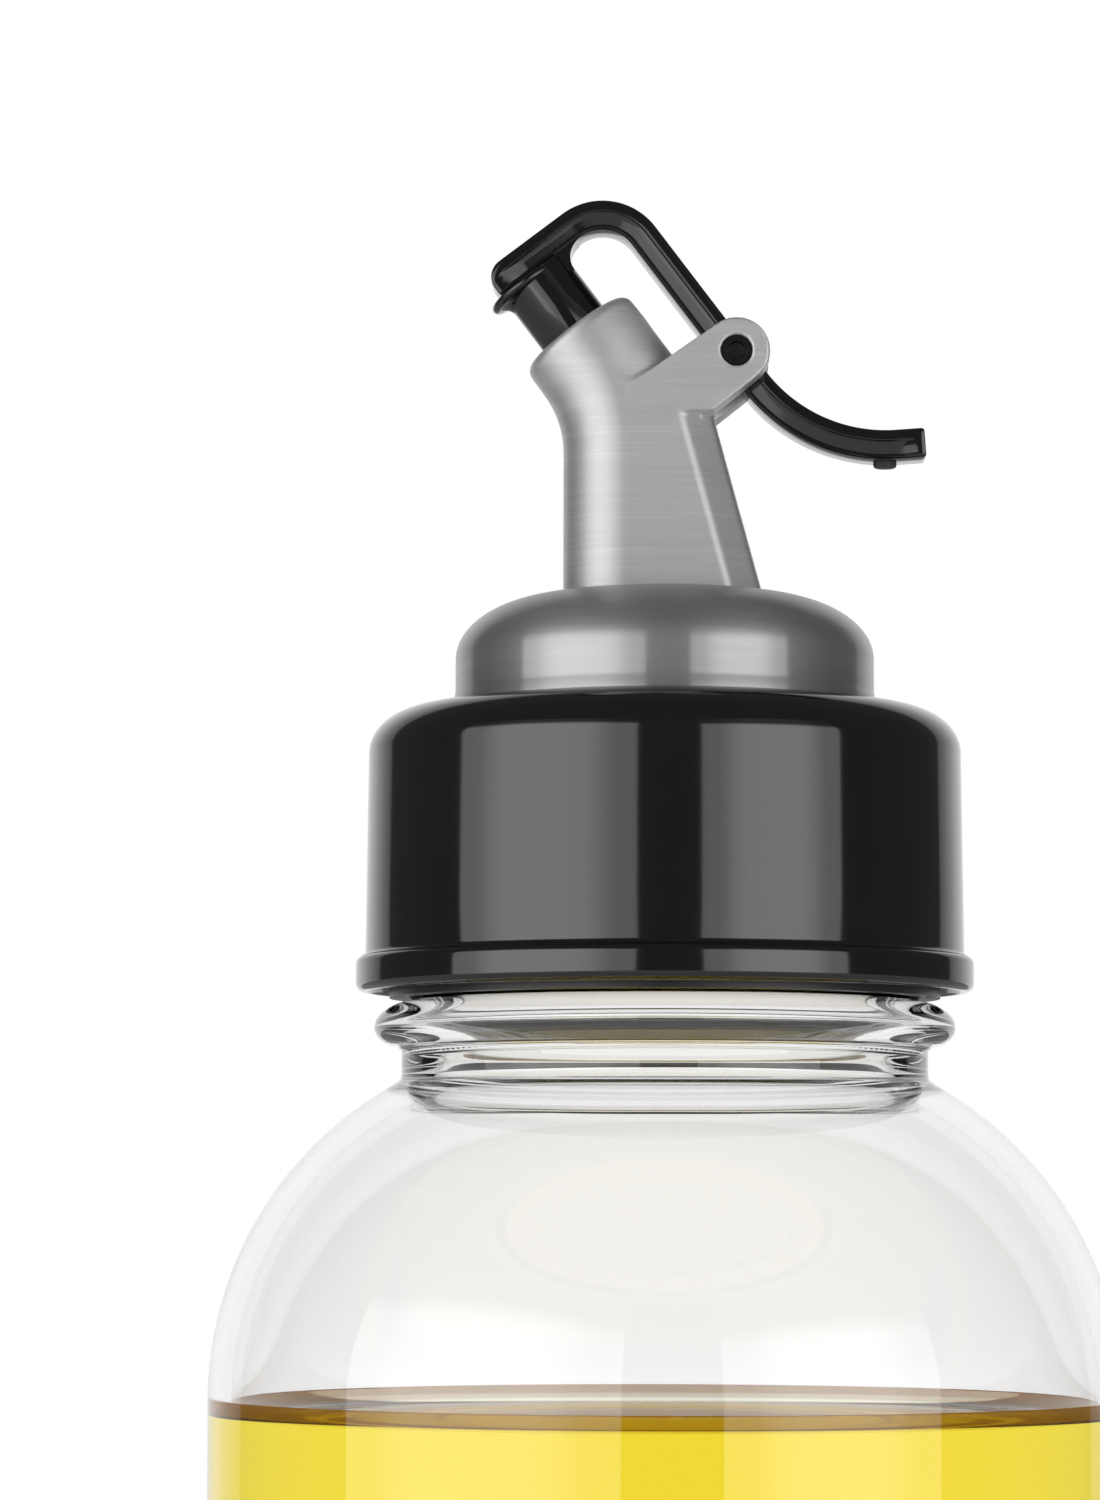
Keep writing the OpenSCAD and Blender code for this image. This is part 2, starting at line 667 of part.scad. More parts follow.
module stopper_pad() {
    color([0.05, 0.05, 0.05]) at_mouth() translate([0, 0, pad_gap]) {
        cylinder(r = stopper_r - 0.1, h = pad_t);
        cylinder(r = stud_r, h = pad_t + stud_len);
    }
}

module tail_bumper() {
    color([0.05, 0.05, 0.05]) translate([tail_c[0], 0, tail_low_z - bumper_h])
        cylinder(r = bumper_r, h = bumper_h + bumper_seat);
}

glass_bottle();
oil_fill();
neck_gasket();
collar_shell();
thread_ring();
pour_insert();
plug_seal();
dome_cover();
spout_body();
spout_nut();
mouth_seat();
lever_arm();
lever_pin();
lever_spring();
stopper_plug();
stopper_pad();
tail_bumper();
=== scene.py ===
"""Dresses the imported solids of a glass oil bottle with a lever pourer.

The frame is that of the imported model, in metres: +Z is up, the spout points to -X, and the viewer
stands at -Y. The sub-assemblies keep their sizes in millimetres until they are built.
"""

from __future__ import annotations

import logging
import math
from dataclasses import dataclass, field
from enum import Enum
from typing import Callable, Sequence

import bpy
from mathutils import Matrix, Vector

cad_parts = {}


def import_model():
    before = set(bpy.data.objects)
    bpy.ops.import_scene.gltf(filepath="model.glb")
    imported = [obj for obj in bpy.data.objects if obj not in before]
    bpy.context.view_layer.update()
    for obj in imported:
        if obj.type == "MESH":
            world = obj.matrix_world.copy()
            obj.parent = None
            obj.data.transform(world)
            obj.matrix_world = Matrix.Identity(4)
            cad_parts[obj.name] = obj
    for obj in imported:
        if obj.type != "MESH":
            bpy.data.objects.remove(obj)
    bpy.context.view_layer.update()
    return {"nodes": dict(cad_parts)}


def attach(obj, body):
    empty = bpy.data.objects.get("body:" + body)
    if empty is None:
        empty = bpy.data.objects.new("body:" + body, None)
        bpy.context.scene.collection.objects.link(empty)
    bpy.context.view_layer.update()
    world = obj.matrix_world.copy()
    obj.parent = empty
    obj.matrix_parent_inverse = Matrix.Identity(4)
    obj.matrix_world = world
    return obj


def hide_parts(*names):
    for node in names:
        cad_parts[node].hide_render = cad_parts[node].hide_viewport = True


LOG = logging.getLogger("oil_bottle")
MM = 0.001
POLE_R = 1e-6
SAME_R = 1e-9
SAME_SPOT = 1e-7
WHITE = (1.0, 1.0, 1.0, 1.0)

Point2 = tuple[float, float]
Point3 = tuple[float, float, float]
Colour = tuple[float, float, float]


# ---------------------------------------------------------------- shader maths


class Wire:
    """A shader socket that takes part in Python arithmetic."""

    def __init__(self, sheet: Sheet, socket: bpy.types.NodeSocket | None) -> None:
        """Keeps the sheet that new nodes go on, and the socket itself."""
        self.sheet = sheet
        self.socket = socket

    def _math(self, operation: str, first: Wire | float, second: Wire | float) -> Wire:
        """Adds one Math node on two operands."""
        return self.sheet.add("Math", {0: first, 1: second}, operation=operation)

    def __add__(self, other: Wire | float) -> Wire:
        """Returns self + other."""
        return self._math("ADD", self, other)

    def __sub__(self, other: Wire | float) -> Wire:
        """Returns self - other."""
        return self._math("SUBTRACT", self, other)

    def __rsub__(self, other: float) -> Wire:
        """Returns other - self."""
        return self._math("SUBTRACT", other, self)

    def __mul__(self, other: Wire | float) -> Wire:
        """Returns self * other."""
        return self._math("MULTIPLY", self, other)

    __radd__ = __add__
    __rmul__ = __mul__


class Sheet:
    """The node sheet of one material or world."""

    def __init__(self, owner: bpy.types.Material | bpy.types.World) -> None:
        """Turns the owner's nodes on, and empties them.

        Args:
            owner: The material or world that the nodes belong to.
        """
        owner.use_nodes = True
        self.tree = owner.node_tree
        self.tree.nodes.clear()

    def add(
        self,
        kind: str,
        sockets: dict[str | int, object] | None = None,
        out: str | int = 0,
        **settings: object,
    ) -> Wire:
        """Adds a node of any kind.

        Args:
            kind: The node's type name, without its prefix.
            sockets: Values or wires by socket name or index.
            out: The output that is wanted.
            settings: Node properties, set first.

        Returns:
            The wanted output.
        """
        node = self.tree.nodes.new("ShaderNode" + kind)
        for name, value in settings.items():
            setattr(node, name, value)
        for name, value in (sockets or {}).items():
            socket = node.inputs[name]
            if isinstance(value, Wire):
                self.tree.links.new(value.socket, socket)
            else:
                socket.default_value = value
        return Wire(self, node.outputs[out] if node.outputs else None)

    def place(self, scale: Point3 = (1, 1, 1)) -> Wire:
        """Object coordinates, scaled."""
        where = self.add("TexCoord", out="Object")
        return self.add("Mapping", {"Vector": where, "Scale": scale})

    def axis(self, where: Wire, name: str) -> Wire:
        """One coordinate of a place."""
        return self.add("SeparateXYZ", {0: where}, name)

    def noise(self, where: Wire, scale: float, detail: float = 2.0, rough: float = 0.5) -> Wire:
        """Noise between 0 and 1."""
        values = {"Vector": where, "Scale": scale, "Detail": detail, "Roughness": rough}
        return self.add("TexNoise", values)

    def blend(self, factor: Wire, first: Colour, second: Colour) -> Wire:
        """A colour between first and second."""
        values = {0: factor, 6: (*first, 1.0), 7: (*second, 1.0)}
        return self.add("Mix", values, 2, data_type="RGBA")

    def below(self, value: Wire, limit: float) -> Wire:
        """1 where a value is under a limit, else 0."""
        return self.add("Math", {0: value, 1: limit}, operation="LESS_THAN")

    def ramp(self, value: Wire, span: Point2, levels: Point2, shape: str = "LINEAR") -> Wire:
        """A level that follows a value over a span, and stays level outside it.

        Args:
            value: What it follows.
            span: The value at the ramp's start and end.
            levels: The level at its start and end.
            shape: The way between them.

        Returns:
            The level.
        """
        names = ("Value", "From Min", "From Max", "To Min", "To Max")
        sockets = dict(zip(names, (value, *span, *levels)))
        return self.add("MapRange", sockets, interpolation_type=shape)

    def bump(self, height: Wire, distance: float) -> Wire:
        """A normal bent by a height."""
        values = {"Height": height, "Distance": distance, "Strength": 1.0}
        return self.add("Bump", values)

    def skin(self, sockets: dict[str, object]) -> Wire:
        """A Principled surface."""
        return self.add("BsdfPrincipled", sockets)

    def clear(self, index: float, shine: float, normal: Wire) -> Wire:
        """A clear, smooth surface.

        Args:
            index: Its index of refraction.
            shine: How strong its reflections are, where 1 is natural.
            normal: Its bent normal.

        Returns:
            The surface.
        """
        sockets = {"Base Color": WHITE, "Roughness": 0.0, "IOR": index, "Normal": normal}
        sockets |= {"Specular Tint": (shine, shine, shine, 1.0), "Transmission Weight": 1.0}
        return self.skin(sockets)

    def mix(self, share: Wire | float, first: Wire, second: Wire) -> Wire:
        """Two surfaces in one, with a share for the second."""
        return self.add("MixShader", {0: share, 1: first, 2: second})

    def absorb(self, colour: Colour, strength: float) -> Wire:
        """A volume that colours the light on its way."""
        return self.add("VolumeAbsorption", {"Color": (*colour, 1.0), "Density": strength})

    def ray(self, kind: str) -> Wire:
        """One fact about the ray that looks."""
        return self.add("LightPath", out=kind)


# ---------------------------------------------------------------- finishes


@dataclass(frozen=True)
class Finish:
    """What every finish shares: a name, and the making of a material from what it draws."""

    name: str

    def make(self) -> bpy.types.Material:
        """Builds the material.

        Returns:
            The material, with its surface and its inside.
        """
        material = bpy.data.materials.new(self.name)
        sheet = Sheet(material)
        ends = {"Surface": self.draw(sheet)}
        depth = self.depth(sheet)
        if depth is not None:
            ends["Volume"] = depth
        sheet.add("OutputMaterial", ends)
        return material

    def draw(self, sheet: Sheet) -> Wire:
        """Draws the surface. Each finish has its own."""
        raise NotImplementedError

    def depth(self, sheet: Sheet) -> Wire | None:
        """Draws the inside. Most finishes have none."""
        return None


@dataclass(frozen=True)
class MouldedPlastic(Finish):
    """Plastic, from polished to satin."""

    colour: Colour = (0.005, 0.005, 0.0055)
    dust: Colour = (0.008, 0.008, 0.009)
    index: float = 1.66
    rough: float = 0.06
    rough_spread: float = 0.04
    grain: float = 260.0
    grain_depth: float = 0.0006 * MM
    flow: float = 55.0

    def draw(self, sheet: Sheet) -> Wire:
        """Smooth skin with a faint flow pattern and a fine moulded grain.

        Args:
            sheet: The sheet that gets the nodes.

        Returns:
            The surface.
        """
        where = sheet.place()
        flow = sheet.noise(where, self.flow, 3.0)
        grain = sheet.noise(where, self.grain, 2.0)
        return sheet.skin(
            {
                "Base Color": sheet.blend(flow, self.colour, self.dust),
                "Roughness": self.rough + flow * self.rough_spread,
                "IOR": self.index,
                "Normal": sheet.bump(grain, self.grain_depth),
            }
        )


@dataclass(frozen=True)
class BrushedSteel(Finish):
    """Stainless steel brushed round the upright axis, so that its lines run level."""

    dark: Colour = (0.64, 0.64, 0.64)
    light: Colour = (0.84, 0.84, 0.84)
    polish: float = 0.24
    satin: float = 0.56
    polished_share: float = 0.04
    share_spread: float = 0.12
    rough_spread: float = 0.06
    broad_lines: Point3 = (25.0, 25.0, 700.0)
    fine_lines: Point3 = (60.0, 60.0, 3600.0)
    hair_lines: Point3 = (160.0, 160.0, 11000.0)
    weights: Point3 = (0.35, 0.4, 0.25)
    quarter_turn: float = 0.25
    contrast: float = 1.7
    line_depth: float = 0.004 * MM

    def draw(self, sheet: Sheet) -> Wire:
        """A bright sheen drawn out across the lines, over a broad satin one.

        Args:
            sheet: The sheet that gets the nodes.

        Returns:
            The surface.
        """
        broad = sheet.noise(sheet.place(self.broad_lines), 1.0, 2.0)
        fine = sheet.noise(sheet.place(self.fine_lines), 1.0, 3.0, 0.6)
        hair = sheet.noise(sheet.place(self.hair_lines), 1.0, 1.0)
        lines = sum(part * weight for part, weight in zip((broad, fine, hair), self.weights))
        tone = (lines - 0.5) * self.contrast + 0.5
        colour = sheet.blend(tone, self.dark, self.light)
        bent = sheet.bump(tone, self.line_depth)
        layers = [
            sheet.skin(
                {
                    "Base Color": colour,
                    "Metallic": 1.0,
                    "Roughness": rough + fine * self.rough_spread,
                    "Anisotropic": drawn_out,
                    "Anisotropic Rotation": self.quarter_turn,
                    "Normal": bent,
                }
            )
            for rough, drawn_out in ((self.satin, 0.5), (self.polish, 1.0))
        ]
        share = self.polished_share - self.share_spread / 2 + fine * self.share_spread
        return sheet.mix(share, *layers)


@dataclass(frozen=True)
class PlainSteel(Finish):
    """Steel of small hidden pieces, drawn or stamped."""

    colour: Colour = (0.50, 0.50, 0.51)
    pale_gain: float = 1.2
    rough: float = 0.22
    rough_spread: float = 0.16
    grain: float = 300.0
    grain_depth: float = 0.003 * MM

    def draw(self, sheet: Sheet) -> Wire:
        """Cloudy steel with a fine grain.

        Args:
            sheet: The sheet that gets the nodes.

        Returns:
            The surface.
        """
        cloud = sheet.noise(sheet.place(), self.grain, 3.0)
        pale = tuple(c * self.pale_gain for c in self.colour)
        return sheet.skin(
            {
                "Base Color": sheet.blend(cloud, self.colour, pale),
                "Metallic": 1.0,
                "Roughness": self.rough + cloud * self.rough_spread,
                "Normal": sheet.bump(cloud, self.grain_depth),
            }
        )


@dataclass(frozen=True)
class ClearGlass(Finish):
    """Clear blown glass, a little grey where it is seen along the wall."""

    index: float = 1.5
    wave: float = 60.0
    wave_depth: float = 0.010 * MM
    stain: Colour = (0.0, 0.08, 0.04)
    grey: float = 5.0
    dry_shine: float = 1.35
    wet_shine: float = 0.0
    wet_top: float = 114.0 * MM
    wet_foot: float = 4.5 * MM
    wall_r: float = 44.1 * MM

    def draw(self, sheet: Sheet) -> Wire:
        """Smooth glass with a faint slow wave, and without shine where the oil wets it.

        Args:
            sheet: The sheet that gets the nodes.

        Returns:
            The surface.
        """
        wave = sheet.bump(sheet.noise(sheet.place(), self.wave, 1.0), self.wave_depth)
        where = sheet.place()
        across, back, height = (sheet.axis(where, name) for name in "XYZ")
        inner = sheet.below(across * across + back * back, self.wall_r**2)
        wet = inner * sheet.below(height, self.wet_top) * (1 - sheet.below(height, self.wet_foot))
        dry_skin, wet_skin = (
            sheet.clear(self.index, shine, wave) for shine in (self.dry_shine, self.wet_shine)
        )
        return sheet.mix(wet, dry_skin, wet_skin)

    def depth(self, sheet: Sheet) -> Wire | None:
        """The glass's own grey."""
        return sheet.absorb(self.stain, self.grey)


@dataclass(frozen=True)
class CookingOil(Finish):
    """Clear yellow oil, with painted amber light where it climbs the glass: a matt amber band in
    place of the light that the meniscus colours on its long way through the oil.
    """

    tint: Colour = (0.987, 0.918, 0.02)
    strength: float = 40.0
    index: float = 1.47
    shine: float = 0.1
    wave: float = 20.0
    wave_depth: float = 0.002 * MM
    # rim is the colour of painted light: the amber that light takes on its long way through the
    # meniscus, laid on as a matt band.
    rim: Colour = (0.97, 0.46, 0.004)
    painted_rim_share: float = 0.44
    rim_foot: float = 112.8 * MM
    rim_full: float = 113.2 * MM

    def draw(self, sheet: Sheet) -> Wire:
        """A liquid's smooth skin, with a painted amber rim that stands in for light coloured on its
        long way through the oil.

        Args:
            sheet: The sheet that gets the nodes.

        Returns:
            The surface.
        """
        still = sheet.bump(sheet.noise(sheet.place(), self.wave, 0.0), self.wave_depth)
        height = sheet.axis(sheet.place(), "Z")
        span = (self.rim_foot, self.rim_full)
        share = sheet.ramp(height, span, (0.0, self.painted_rim_share), "SMOOTHSTEP")
        # Painted light: a matt amber layer, half diffuse and half translucent, mixed in over the
        # rim's height in place of light coloured by the meniscus.
        lit, lit_through = (
            sheet.add(kind, {"Color": (*self.rim, 1.0)})
            for kind in ("BsdfDiffuse", "BsdfTranslucent")
        )
        painted_rim_light = sheet.mix(0.5, lit, lit_through)
        return sheet.mix(share, sheet.clear(self.index, self.shine, still), painted_rim_light)

    def depth(self, sheet: Sheet) -> Wire | None:
        """The oil's colour, which grows with the light's way through it."""
        return sheet.absorb(self.tint, self.strength)


@dataclass(frozen=True)
class SoftRubber(Finish):
    """Rubber or silicone with a bloom on it."""

    colour: Colour = (0.02, 0.02, 0.02)
    bloom: Colour = (0.035, 0.035, 0.035)
    rough: float = 0.55
    rough_spread: float = 0.2
    sheen: float = 0.1
    grain: float = 420.0
    grain_depth: float = 0.006 * MM

    def draw(self, sheet: Sheet) -> Wire:
        """Matt skin with a fine grain.

        Args:
            sheet: The sheet that gets the nodes.

        Returns:
            The surface.
        """
        bloom = sheet.noise(sheet.place(), self.grain, 3.0)
        return sheet.skin(
            {
                "Base Color": sheet.blend(bloom, self.colour, self.bloom),
                "Roughness": self.rough + bloom * self.rough_spread,
                "Sheen Weight": self.sheen,
                "Normal": sheet.bump(bloom, self.grain_depth),
            }
        )


@dataclass(frozen=True)
class PanelGlow(Finish):
    """The light of a soft panel, brightest in its middle and on its front alone."""

    strength: float = 2.55
    fade_from: float = 0.24
    fade_over: float = 0.14
    side_span: Point2 = (0.0, 0.16)
    side_level: float = 0.56
    top_level: float = 0.12

    def draw(self, sheet: Sheet) -> Wire:
        """A glow that falls off to both sides and towards the top.

        Args:
            sheet: The sheet that gets the nodes.

        Returns:
            The surface.
        """
        across, upright = (sheet.axis(sheet.place(), name) for name in "XY")
        levels = (1.0, self.side_level)
        middle = sheet.ramp(across * across, self.side_span, levels, "SMOOTHERSTEP")
        fade = (self.fade_from, self.fade_from + self.fade_over)
        edge = sheet.ramp(upright, fade, (1.0, self.top_level), "SMOOTHSTEP")
        back = sheet.add("NewGeometry", out="Backfacing")
        return sheet.add("Emission", {"Strength": self.strength * middle * edge * (1 - back)})


@dataclass(frozen=True)
class PaleFloor(Finish):
    """A pale sheet with a glow of its own, to the eye and through glass."""

    dark: Colour = (0.80, 0.80, 0.80)
    light: Colour = (0.84, 0.84, 0.84)
    mottle: float = 9.0
    through_share: float = 0.8
    seen_share: float = 0.6

    def draw(self, sheet: Sheet) -> Wire:
        """Faintly mottled paper, mixed with plain white light.

        Args:
            sheet: The sheet that gets the nodes.

        Returns:
            The surface.
        """
        mottle = sheet.noise(sheet.place(), self.mottle, 2.0)
        paper = sheet.add("BsdfDiffuse", {"Color": sheet.blend(mottle, self.dark, self.light)})
        bright = sheet.add("Emission", {"Color": WHITE, "Strength": 1.0})
        through, seen = sheet.ray("Is Transmission Ray"), sheet.ray("Is Camera Ray")
        share = through * self.through_share + seen * self.seen_share
        return sheet.mix(share, paper, bright)


SATIN_BLACK = MouldedPlastic(
    "satin_black",
    colour=(0.020, 0.020, 0.021),
    dust=(0.032, 0.032, 0.034),
    index=1.5,
    rough=0.32,
    rough_spread=0.12,
    grain=1600.0,
    grain_depth=0.006 * MM,
)
PALE_PLASTIC = MouldedPlastic(
    "pale_plastic",
    colour=(0.78, 0.78, 0.76),
    dust=(0.82, 0.82, 0.80),
    index=1.5,
    rough=0.3,
    rough_spread=0.1,
    grain=1600.0,
    grain_depth=0.004 * MM,
)
DOME_STEEL = BrushedSteel(
    "dome_brushed_steel",
    dark=(0.40, 0.40, 0.40),
    light=(0.56, 0.56, 0.56),
    polish=0.18,
    polished_share=0.38,
)
PALE_SILICONE = SoftRubber("pale_silicone", (0.50, 0.50, 0.48), (0.60, 0.60, 0.58))


class Kit(Enum):
    """The finishes of this bottle, each with the record's slot that it belongs to."""

    GLOSS = ("black_gloss", MouldedPlastic("polished_black"))
    SATIN = ("black_plastic", SATIN_BLACK)
    PALE_PLASTIC = ("pale_plastic", PALE_PLASTIC)
    STEEL = ("brushed_steel", BrushedSteel("level_brushed_steel"))
    DOME_STEEL = ("brushed_steel", DOME_STEEL)
    PLAIN_STEEL = ("plain_steel", PlainSteel("stamped_steel"))
    PIN = ("dark_pin", PlainSteel("blackened_steel", (0.035, 0.035, 0.038)))
    GLASS = ("clear_glass", ClearGlass("clear_glass"))
    OIL = ("yellow_oil", CookingOil("cooking_oil"))
    BLACK_RUBBER = ("black_rubber", SoftRubber("black_rubber"))
    PALE_RUBBER = ("pale_rubber", PALE_SILICONE)


class Paint:
    """Makes each finish once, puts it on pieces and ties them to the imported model."""

    def __init__(self) -> None:
        """Starts with no material made."""
        self._made: dict[Kit, bpy.types.Material] = {}

    def on(self, piece: bpy.types.Object, finish: Kit) -> None:
        """Gives a piece its finish.

        Args:
            piece: The object to dress.
            finish: The finish it gets.
        """
        if finish not in self._made:
            self._made[finish] = finish.value[1].make()
        piece.data.materials.clear()
        piece.data.materials.append(self._made[finish])

    def mount(self, piece: bpy.types.Object, body: str, finish: Kit, *nodes: str) -> None:
        """Dresses a new piece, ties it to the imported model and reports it.

        Args:
            piece: The finished object.
            body: The body that it rides on.
            finish: Its finish.
            nodes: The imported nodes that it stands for.
        """
        self.on(piece, finish)
        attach(piece, body)
        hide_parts(*nodes)
        LOG.info("%s: %d faces, rides on %s", piece.name, len(piece.data.polygons), body)


# ---------------------------------------------------------------- the bench


def arc(
    centre: Point2, rx: float, ry: float, start: float, end: float, steps: int
) -> list[Point2]:
    """Points on an ellipse's arc.

    Args:
        centre: Its centre.
        rx: Its half-width.
        ry: Its half-height.
        start: First angle, in degrees.
        end: Last angle, in degrees.
        steps: Number of steps between them.

    Returns:
        The points, from start to end.
    """
    angles = [math.radians(start + (end - start) * i / steps) for i in range(steps + 1)]
    return [(centre[0] + rx * math.cos(a), centre[1] + ry * math.sin(a)) for a in angles]


def heading(degrees: float) -> Vector:
    """Unit vector in the X-Z plane, from +X towards +Z."""
    a = math.radians(degrees)
    return Vector((math.cos(a), 0, math.sin(a)))


class Bench:
    """Models pieces in edit mode, as by hand."""

    @staticmethod
    def clear() -> None:
        """Leaves edit mode and selects nothing."""
        if bpy.context.object and bpy.context.object.mode != "OBJECT":
            bpy.ops.object.mode_set(mode="OBJECT")
        bpy.ops.object.select_all(action="DESELECT")

    @staticmethod
    def only(piece: bpy.types.Object) -> None:
        """Selects one piece and nothing else.

        Args:
            piece: The object, which also becomes the active one.
        """
        Bench.clear()
        piece.select_set(True)
        bpy.context.view_layer.objects.active = piece

    @staticmethod
    def start(name: str) -> bpy.types.Object:
        """Names the primitive that was just added, and opens it selected all over.

        Args:
            name: The name of the object and its mesh.

        Returns:
            The object in edit mode.
        """
        piece = bpy.context.object
        piece.name = name
        piece.data.name = name
        bpy.ops.object.mode_set(mode="EDIT")
        bpy.ops.mesh.select_all(action="SELECT")
        return piece

    @staticmethod
    def pick(piece: bpy.types.Object, test: Callable[[bpy.types.MeshVertex], bool]) -> None:
        """Selects just those vertices that pass a test.

        Args:
            piece: The object in edit mode.
            test: Says whether a vertex is wanted.
        """
        bpy.ops.mesh.select_mode(type="VERT")
        bpy.ops.mesh.select_all(action="DESELECT")
        bpy.ops.object.mode_set(mode="OBJECT")
        for vertex in piece.data.vertices:
            if test(vertex):
                vertex.select = True
        bpy.ops.object.mode_set(mode="EDIT")

    @staticmethod
    def cap(piece: bpy.types.Object, count: int) -> None:
        """Closes the first and the last ring of a swept piece.

        Args:
            piece: The object, out of edit mode.
            count: Corners of each ring.
        """
        last = len(piece.data.vertices) - count
        bpy.ops.object.mode_set(mode="EDIT")
        for first in (0, last):
            Bench.pick(piece, lambda v: first <= v.index < first + count)
            bpy.ops.mesh.edge_face_add()

    @staticmethod
    def finish(piece: bpy.types.Object, smooth: float = 40.0) -> bpy.types.Object:
        """Closes edit mode, points the faces outwards and shades the piece.

        Args:
            piece: The object, in edit mode or out of it.
            smooth: Edges sharper than this many degrees stay sharp.

        Returns:
            The same object.
        """
        if piece.mode != "EDIT":
            bpy.context.view_layer.objects.active = piece
            bpy.ops.object.mode_set(mode="EDIT")
        bpy.ops.mesh.select_mode(type="VERT")
        bpy.ops.mesh.select_all(action="SELECT")
        bpy.ops.mesh.remove_doubles(threshold=SAME_SPOT)
        bpy.ops.mesh.normals_make_consistent(inside=False)
        Bench.only(piece)
        bpy.ops.object.shade_smooth_by_angle(angle=math.radians(smooth))
        Bench.clear()
        return piece

    @staticmethod
    def extrude(way: Vector | Point3) -> None:
        """Extrudes what is selected, by a way in metres."""
        bpy.ops.mesh.extrude_region_move(TRANSFORM_OT_translate={"value": way})

    @staticmethod
    def carry(step: Vector, angle: float, centre: Vector) -> None:
        """Extrudes the selected ring and turns the new one.

        Args:
            step: The way it goes, in millimetres.
            angle: Degrees that it turns, from +X towards +Z.
            centre: The point that it turns about, in millimetres.
        """
        Bench.extrude(step * MM)
        if angle:
            bpy.ops.transform.rotate(
                value=math.radians(angle), orient_axis="Y", center_override=centre * MM
            )

    @staticmethod
    def turned(
        name: str, profile: Sequence[Point2], sides: int, smooth: float, ring: bool = False
    ) -> bpy.types.Object:
        """Turns a profile about the Z axis, ring by ring.

        Args:
            name: The piece's name.
            profile: (radius, height) points in millimetres. A radius of 0 at an end closes there.
            sides: Corners of each ring.
            smooth: Edges sharper than this many degrees stay sharp.
            ring: Whether the last point joins the first.

        Returns:
            The finished object.
        """
        points = [(max(r * MM, POLE_R), z * MM) for r, z in profile]
        if ring:
            points.append(points[0])
        Bench.clear()
        low_r, low_z = points[0]
        bpy.ops.mesh.primitive_circle_add(vertices=sides, radius=low_r, location=(0, 0, low_z))
        bpy.ops.object.transform_apply(location=True, rotation=True, scale=True)
        piece = Bench.start(name)
        for (r0, z0), (r1, z1) in zip(points, points[1:]):
            Bench.extrude((0, 0, z1 - z0))
            if abs(r1 - r0) > SAME_R:
                grown = r1 / r0
                bpy.ops.transform.resize(value=(grown, grown, 1), center_override=(0, 0, z1))
        ends = () if ring else (points[0], points[-1])
        for r, z in ends:
            if r <= POLE_R:
                Bench.pick(piece, lambda v: Bench.at_pole(v.co, z))
                bpy.ops.mesh.merge(type="CENTER")
        return Bench.finish(piece, smooth)

    @staticmethod
    def at_pole(spot: Vector, height: float) -> bool:
        """Whether a vertex belongs to the closed end of a turned piece."""
        return math.hypot(spot.x, spot.y) < 2 * POLE_R and abs(spot.z - height) < POLE_R

    @staticmethod
    def loop(name: str, corners: Sequence[Point3]) -> bpy.types.Object:
        """Lays a closed loop of edges, and opens it selected all over.

        Args:
            name: The name of the object and its mesh.
            corners: The loop's corners, in millimetres.

        Returns:
            The object in edit mode.
        """
        Bench.clear()
        bpy.ops.mesh.primitive_circle_add(vertices=len(corners), radius=1.0)
        piece = bpy.context.object
        for vertex, (x, y, z) in zip(piece.data.vertices, corners):
            vertex.co = (x * MM, y * MM, z * MM)
        return Bench.start(name)

    @staticmethod
    def slab(name: str, corners: Sequence[Point3], way: Vector | Point3) -> bpy.types.Object:
        """A closed plate, extruded from one of its faces.

        Args:
            name: The plate's name.
            corners: The face's corners, in millimetres.
            way: The way that it is extruded, in metres.

        Returns:
            The finished plate.
        """
        plate = Bench.loop(name, corners)
        bpy.ops.mesh.edge_face_add()
        Bench.extrude(way)
        return Bench.finish(plate)

    @staticmethod
    def plate(name: str, outline: Sequence[Point2], width: float) -> bpy.types.Object:
        """A closed plate, from its outline in X and Z and its width front to back."""
        corners = [(x, -width / 2, z) for x, z in outline]
        return Bench.slab(name, corners, (0, width * MM, 0))

    @staticmethod
    def rod(name: str, start: Vector, end: Vector, radius: float) -> bpy.types.Object:
        """A closed rod between two points, in millimetres.

        Args:
            name: The rod's name.
            start: The middle of one end.
            end: The middle of the other end.
            radius: Its radius.

        Returns:
            The rod, with its place in its mesh.
        """
        Bench.clear()
        run = end - start
        bpy.ops.mesh.primitive_cylinder_add(
            vertices=72, radius=radius * MM, depth=run.length * MM
        )
        rod = bpy.context.object
        rod.name = name
        turn = run.to_track_quat("Z", "Y").to_matrix().to_4x4()
        return Bench.settle(rod, Matrix.Translation((start + end) / 2 * MM) @ turn)

    @staticmethod
    def modify(piece: bpy.types.Object, kind: str, **settings: object) -> None:
        """Adds one modifier and applies it.

        Args:
            piece: The object.
            kind: The modifier's type.
            settings: Its properties.
        """
        Bench.only(piece)
        modifier = piece.modifiers.new(kind.lower(), kind)
        for key, value in settings.items():
            setattr(modifier, key, value)
        bpy.ops.object.modifier_apply(modifier=modifier.name)

    @staticmethod
    def cut(piece: bpy.types.Object, tool: bpy.types.Object, how: str = "DIFFERENCE") -> None:
        """Cuts a piece with a tool, and throws the tool away."""
        Bench.modify(piece, "BOOLEAN", operation=how, object=tool, solver="EXACT")
        bpy.data.objects.remove(tool)

    @staticmethod
    def fuse(piece: bpy.types.Object, other: bpy.types.Object) -> None:
        """Makes one solid of two that overlap."""
        Bench.cut(piece, other, "UNION")

    @staticmethod
    def add(piece: bpy.types.Object, other: bpy.types.Object) -> bpy.types.Object:
        """Adds another closed shell to a piece.

        Args:
            piece: The object that grows.
            other: The closed shell that it takes in.

        Returns:
            The first object.
        """
        Bench.only(piece)
        other.select_set(True)
        bpy.ops.object.join()
        Bench.clear()
        return piece

